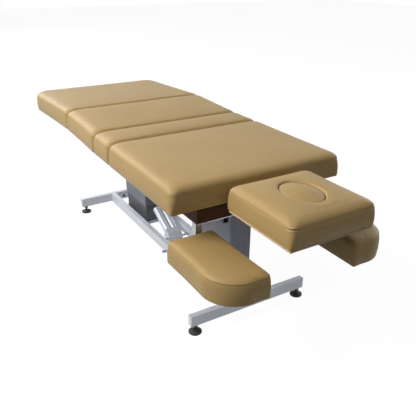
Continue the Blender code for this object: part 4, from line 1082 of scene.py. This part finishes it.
# %% Sizes of the deck
DECK_HALF = 0.381
PAD_LOW, PAD_TOP = 0.57385, 0.6600
SKIRT_LOW = 0.5620
SIDE_ROLL, END_ROLL, JOINT_ROLL = 0.044, 0.038, 0.016
SECTION_RISE = 0.021
SECTION_CROWN = 0.004
CORNER, CORNER_FOOT, FOOT_CORNER = 0.024, 0.010, 0.075
SECTION_SPACING = 0.012
PIN_HEIGHT = 0.581
SECTIONS = {
    "back": (0.0, 0.560),
    "seat": (0.566, 0.734),
    "thigh": (0.740, 1.109),
    "foot": (1.111, 1.7275),
}
HINGE_HEIGHT = 0.635
THIGH_HINGE, KNEE, KNEE_HEIGHT = 0.737, 1.110, 0.5446
THIGH_SLOPE, FOOT_SLOPE = math.radians(1.8), math.radians(-2.7)


def turned(angle, pivot, place):
    """A turn about an axis along X through a pivot, which ends up at a place."""
    return Matrix.Translation(place) @ Matrix.Rotation(angle, 4, "X") @ Matrix.Translation(-pivot)


hinge, knee = Vector((0.0, THIGH_HINGE, HINGE_HEIGHT)), Vector((0.0, KNEE, KNEE_HEIGHT))
thigh_tilt = turned(THIGH_SLOPE, hinge, hinge)
knee_rest = thigh_tilt @ knee
foot_tilt = turned(FOOT_SLOPE, knee, knee_rest)
print("knee at", [round(x, 4) for x in knee_rest])

# %% Back, seat, thigh and foot cushions
TIGHT = 0.0009
KNEE_TIGHT = 0.0003
BACK_FOLD_PLACE, BACK_FOLD_SIZE = (0.3707, 0.0103), (0.022, 0.0026)
BACK_FOLDS = ((0.629, 0.0011), (0.6215, 0.0008))
THIGH_FOLD_RUN, THIGH_FOLD_SIZE = (0, 1, 0.45), (0.045, 0.0045)
THIGH_FOLDS = ((1.060, 0.594, 0.0012), (1.007, 0.586, 0.0009), (0.951, 0.578, 0.0007))


def section_mesh(name):
    """The skin of one section. Its ends roll wide and bulge only at the ends of the deck."""
    start, end = SECTIONS[name]
    radii, feet = [CORNER] * 4, [CORNER_FOOT] * 4
    if name == "foot":
        radii[:2] = feet[:2] = [FOOT_CORNER] * 2
    plan = plan_of((-DECK_HALF, start), (DECK_HALF, end), radii, feet, SECTION_SPACING)
    free_ends = (name == "back", name == "foot")
    roll = (SIDE_ROLL, *(END_ROLL if free else JOINT_ROLL for free in free_ends))
    bulge = (BULGE, *(BULGE if free else 0.0 for free in free_ends))
    return pad_mesh(
        name + "_pad", plan, PAD_LOW, PAD_TOP, roll, SECTION_RISE, SECTION_CROWN, SKIRT_LOW,
        0.0, bulge,
    )


def slot_stretch(section_name, at_head, at_foot):
    """Where the slots for the hinge plates run in a section."""
    start, end = SECTIONS[section_name]
    stretches = []
    if at_head:
        stretches.append((start - SLOT_PAST_END, start + SLOT_DEPTH))
    if at_foot:
        stretches.append((end - SLOT_DEPTH, end + SLOT_PAST_END))
    return stretches


def corner_folds(place, size, folds):
    """Short folds over both head corners of a pad, each with a height and a depth."""
    made = []
    for side in (1, -1):
        for height, depth in folds:
            middle = (side * place[0], place[1], height)
            made.append((fold, (middle, (-side, -1, 0), *size, depth)))
    return made


back_folds = corner_folds(BACK_FOLD_PLACE, BACK_FOLD_SIZE, BACK_FOLDS)
thigh_folds = [
    (fold, ((-DECK_HALF, y, z), THIGH_FOLD_RUN, *THIGH_FOLD_SIZE, depth))
    for y, z, depth in THIGH_FOLDS
]
# body, how far the head and foot ends may swell, slots at those ends, folds, tilt
SECTION_COVERS = {
    "back": ("back", (SWELL_LIMIT, TIGHT), (False, True), back_folds, None),
    "seat": ("top", (TIGHT, TIGHT), (True, True), (), None),
    "thigh": ("thigh", (TIGHT, KNEE_TIGHT), (True, False), thigh_folds, thigh_tilt),
    "foot": ("foot", (KNEE_TIGHT, SWELL_LIMIT), (False, False), (), foot_tilt),
}
cushions = []
for name, (body, limits, slotted_ends, folds, tilt) in SECTION_COVERS.items():
    cushions.append(
        cushion(
            section_mesh(name), name + "_cushion", body, PIN_HEIGHT, (SWELL_LIMIT, *limits),
            folds, slot_stretch(name, *slotted_ends), tilt,
        )
    )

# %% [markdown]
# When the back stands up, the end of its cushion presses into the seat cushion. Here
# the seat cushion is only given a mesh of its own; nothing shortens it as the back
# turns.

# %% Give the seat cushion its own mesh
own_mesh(cushions[1])

# %% [markdown]
# ## Headrest, plug and armrests
#
# The headrest has the oval face opening, and its plug fills it. The cover is folded
# at the front corners, just under the roll. Each armrest has one large round corner,
# at the outer front, and under its seam the vinyl is gathered into small pleats there.

# %% Headrest cushion and plug
SLIM = 0.0008
HEADREST_LOW, HEADREST_TOP = 0.56015, 0.6510
HEADREST_ROLL, HEADREST_RISE = 0.040, 0.024
HEADREST_CROWN = 0.009
HEADREST_SPACING = 0.010
HEADREST_HALF, HEADREST_Y = 0.178, (-0.382, -0.034)
HEADREST_CORNER, HEADREST_FOOT, HEADREST_SEAM = 0.018, 0.008, 0.0014
HEADREST_FOLD_PLACE, HEADREST_FOLD_SIZE = (0.1710, -0.3750), (0.020, 0.0028)
HEADREST_FOLDS = ((0.6275, 0.0026), (0.6195, 0.0008))
PLUG_CENTRE = (0.0, -0.212)
FACE_OPENING = (PLUG_CENTRE, 0.0685, 0.0935)
PIN_ABOVE = 0.004
headrest_plan = plan_of(
    (-HEADREST_HALF, HEADREST_Y[0]), (HEADREST_HALF, HEADREST_Y[1]),
    [HEADREST_CORNER] * 4, [HEADREST_FOOT] * 4, HEADREST_SPACING,
)
headrest_skin = holed_pad_mesh(
    "headrest_pad", headrest_plan, HEADREST_LOW, HEADREST_TOP, [HEADREST_ROLL] * 3,
    HEADREST_RISE, HEADREST_CROWN, FACE_OPENING, HEADREST_SEAM, (SLIM, BULGE, BULGE),
)
headrest_folds = corner_folds(HEADREST_FOLD_PLACE, HEADREST_FOLD_SIZE, HEADREST_FOLDS)
cushions.append(
    cushion(
        headrest_skin, "headrest_cushion", "headrest", HEADREST_LOW + PIN_ABOVE,
        (SLIM, SWELL_LIMIT, SLIM), headrest_folds, levels=2,
    )
)

# %% [markdown]
# The plug is a lid of the same vinyl: an oval that fills the opening and swells a
# little above it. It is grown as rings of one oval, drawn in under its foot, up its
# wall, over its rounded rim and then smaller and smaller over the dome.

# %% Face plug
PLUG_LOW, PLUG_TOP = 0.5601, 0.6545
PLUG_HALF = (0.0672, 0.0922)
PLUG_ROUND, PLUG_ROUND_STEPS = 0.010, 4
PLUG_DOME, PLUG_DOME_STEPS = 0.0085, 8
PLUG_HEM = ((0.010, 0.0), (0.003, 0.001))
PLUG_FOOT, PLUG_SPACING, PLUG_WALL_RINGS = 0.005, 0.0118, 7
PLUG_SIDES = 64
PLUG_PIN_DROP = 0.012


def plug_mesh():
    """A closed domed oval."""
    rings = [(1 - inset / PLUG_HALF[0], PLUG_LOW + height) for inset, height in PLUG_HEM]
    rings += [(1.0, PLUG_LOW + PLUG_FOOT + PLUG_SPACING * step) for step in range(PLUG_WALL_RINGS)]
    for share, drop in quarter(PLUG_ROUND_STEPS):
        rings.append((1 - PLUG_ROUND * share / PLUG_HALF[0], PLUG_TOP - PLUG_ROUND * drop))
    edge = rings[-1][0]
    for step in range(1, PLUG_DOME_STEPS):
        share = step / PLUG_DOME_STEPS
        rings.append((edge * (1 - share), PLUG_TOP + PLUG_DOME * (1 - (1 - share) ** 2)))
    points, faces = [(*PLUG_CENTRE, PLUG_LOW)], []
    for scale, height in rings:
        for step in range(PLUG_SIDES):
            turn = 2 * math.pi * step / PLUG_SIDES
            x = PLUG_CENTRE[0] + PLUG_HALF[0] * scale * math.cos(turn)
            y = PLUG_CENTRE[1] + PLUG_HALF[1] * scale * math.sin(turn)
            points.append((x, y, height))
    points.append((*PLUG_CENTRE, PLUG_TOP + PLUG_DOME))
    last = 1 + (len(rings) - 1) * PLUG_SIDES
    for start in range(1, last, PLUG_SIDES):
        faces += band(start, start + PLUG_SIDES, PLUG_SIDES)
    for step in range(PLUG_SIDES):
        after = (step + 1) % PLUG_SIDES
        faces.append((0, 1 + after, 1 + step))
        faces.append((len(points) - 1, last + step, last + after))
    return mesh_of("face_plug_pad", points, faces)


cushions.append(cushion(plug_mesh(), "face_plug", "face_plug", PLUG_TOP - PLUG_PIN_DROP))

# %% Armrest cushions
ARMREST_LOW, ARMREST_TOP = 0.36985, 0.4520
ARMREST_SKIRT = 0.3582
ARMREST_ROLL, ARMREST_RISE, ARMREST_CROWN = 0.032, 0.016, 0.005
ARMREST_SPACING = 0.010
ARMREST_X, ARMREST_Y = (0.184, 0.375), (-0.317, 0.050)
SMALL_CORNER, SMALL_FOOT, BIG_CORNER, BIG_CORNER_STEPS = 0.014, 0.007, 0.120, 10
ARMREST_SEAM = 0.0022
PLEAT_PITCH, PLEAT_DEPTH = 0.0085, 0.0013
PLEAT_SPANS = {1: (-75, -15), -1: (-165, -105)}


def armrest_mesh(name, side):
    """One armrest pad, with its large corner at the outer front."""
    low = (min(side * x for x in ARMREST_X), ARMREST_Y[0])
    high = (max(side * x for x in ARMREST_X), ARMREST_Y[1])
    radii, feet, halves = [SMALL_CORNER] * 4, [SMALL_FOOT] * 4, [2] * 4
    big = 3 if side > 0 else 2
    radii[big], feet[big], halves[big] = BIG_CORNER, BIG_CORNER, BIG_CORNER_STEPS
    plan = plan_of(low, high, radii, feet, ARMREST_SPACING, halves)
    roll = [ARMREST_ROLL] * 3
    return pad_mesh(
        name, plan, ARMREST_LOW, ARMREST_TOP, roll, ARMREST_RISE, ARMREST_CROWN, ARMREST_SKIRT,
        ARMREST_SEAM, (SLIM, BULGE, BULGE),
    )


for name, side in (("left_armrest", -1), ("right_armrest", 1)):
    middle = (side * (ARMREST_X[1] - BIG_CORNER), ARMREST_Y[0] + BIG_CORNER)
    seam_height = ARMREST_TOP - ARMREST_RISE
    details = (middle, BIG_CORNER, PLEAT_SPANS[side], seam_height, PLEAT_PITCH, PLEAT_DEPTH)
    cushions.append(
        cushion(
            armrest_mesh(name + "_pad", side), name + "_cushion", name, ARMREST_LOW + PIN_ABOVE,
            (SLIM, SWELL_LIMIT, SWELL_LIMIT), [(gathers, details)], levels=2,
        )
    )
print(len(cushions), "cushions")

# %% [markdown]
# ## Small pieces
#
# Two details are too small for the imported model. A narrow bright metal strip lies
# along the lower front edge of the apron as a painted highlight, and a plug fills a
# drilled hole in the rear foot bar. Both are turned or drawn as rounded profiles, and
# both ride on what they are fixed to.

# %% Rounded bars and discs
HARDWARE_ANGLE = math.radians(40)


def finished_piece(mesh, slot, rides_on):
    """Place a small piece, give it its finish and fix it to a body."""
    made = in_scene(mesh.name, mesh)
    made.location = (0.0, ROW_SHIFT, 0.0)
    mesh.shade_smooth()
    mesh.set_sharp_from_angle(angle=HARDWARE_ANGLE)
    mesh.materials.append(finishes[slot])
    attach(made, rides_on)


def rounded_bar(name, low, high, radius, segments=3):
    """A bar between two corners with all its edges rounded."""
    bar = bmesh.new()
    add_block(bar, low, high)
    bmesh.ops.bevel(
        bar, geom=bar.edges[:], offset=radius, segments=segments, affect="EDGES", profile=0.5
    )
    return built(bar, name)


def turned_disc(name, centre, profile, sides=32):
    """A disc turned about an axis along Y, from pairs of radius and depth."""
    points, faces = [], []
    for radius, depth in profile:
        for step in range(sides):
            turn = 2 * math.pi * step / sides
            x, z = centre[0] + radius * math.cos(turn), centre[2] + radius * math.sin(turn)
            points.append((x, centre[1] + depth, z))
    for ring in range(len(profile) - 1):
        faces += band(ring * sides, (ring + 1) * sides, sides)
    faces.append(tuple(reversed(range(sides))))
    faces.append(tuple(range(len(points) - sides, len(points))))
    mesh = mesh_of(name, points, faces)
    disc = bmesh.new()
    disc.from_mesh(mesh)
    bmesh.ops.recalc_face_normals(disc, faces=disc.faces[:])
    disc.to_mesh(mesh)
    disc.free()
    return mesh


print("bars and discs ready")

# %% Apron highlight strip and hole plug
HIGHLIGHT_STRIP_HALF, HIGHLIGHT_STRIP_FACE, HIGHLIGHT_STRIP_HEIGHT, HIGHLIGHT_STRIP_ROUND = 0.268, 0.0139, 0.4970, 0.0006
HIGHLIGHT_STRIP_SIZE = (0.0014, 0.0034)
HOLE_PLUG_PLACE = (-0.0247, 1.3152, 0.0569)
HOLE_PLUG_PROFILE = (
    (0.0030, -0.0004), (0.0040, -0.0020), (0.0066, -0.0017), (0.0078, -0.0008), (0.0078, -0.0001),
)
highlight_strip_low = (-HIGHLIGHT_STRIP_HALF, HIGHLIGHT_STRIP_FACE - HIGHLIGHT_STRIP_SIZE[0], HIGHLIGHT_STRIP_HEIGHT)
highlight_strip_high = (HIGHLIGHT_STRIP_HALF, HIGHLIGHT_STRIP_FACE, HIGHLIGHT_STRIP_HEIGHT + HIGHLIGHT_STRIP_SIZE[1])
# painted highlight: a bright plated strip along the apron's lower front edge
highlight_strip = rounded_bar("apron_highlight_strip", highlight_strip_low, highlight_strip_high, HIGHLIGHT_STRIP_ROUND)
finished_piece(highlight_strip, "zinc_steel", "back")
hole_plug = turned_disc("bar_hole_plug", HOLE_PLUG_PLACE, HOLE_PLUG_PROFILE)
finished_piece(hole_plug, "black_plastic", "base")
print("two small pieces of hardware")

# %% [markdown]
# ## Size
#
# The finished scene is measured and its box is printed next to the imported one, so
# that the two can be compared.

# %% Measure and finish
boxes = {"cad": cad_box, "scene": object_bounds()}
for name, box in boxes.items():
    boxes[name] = [[round(float(x), 5) for x in corner] for corner in box]
print(boxes)
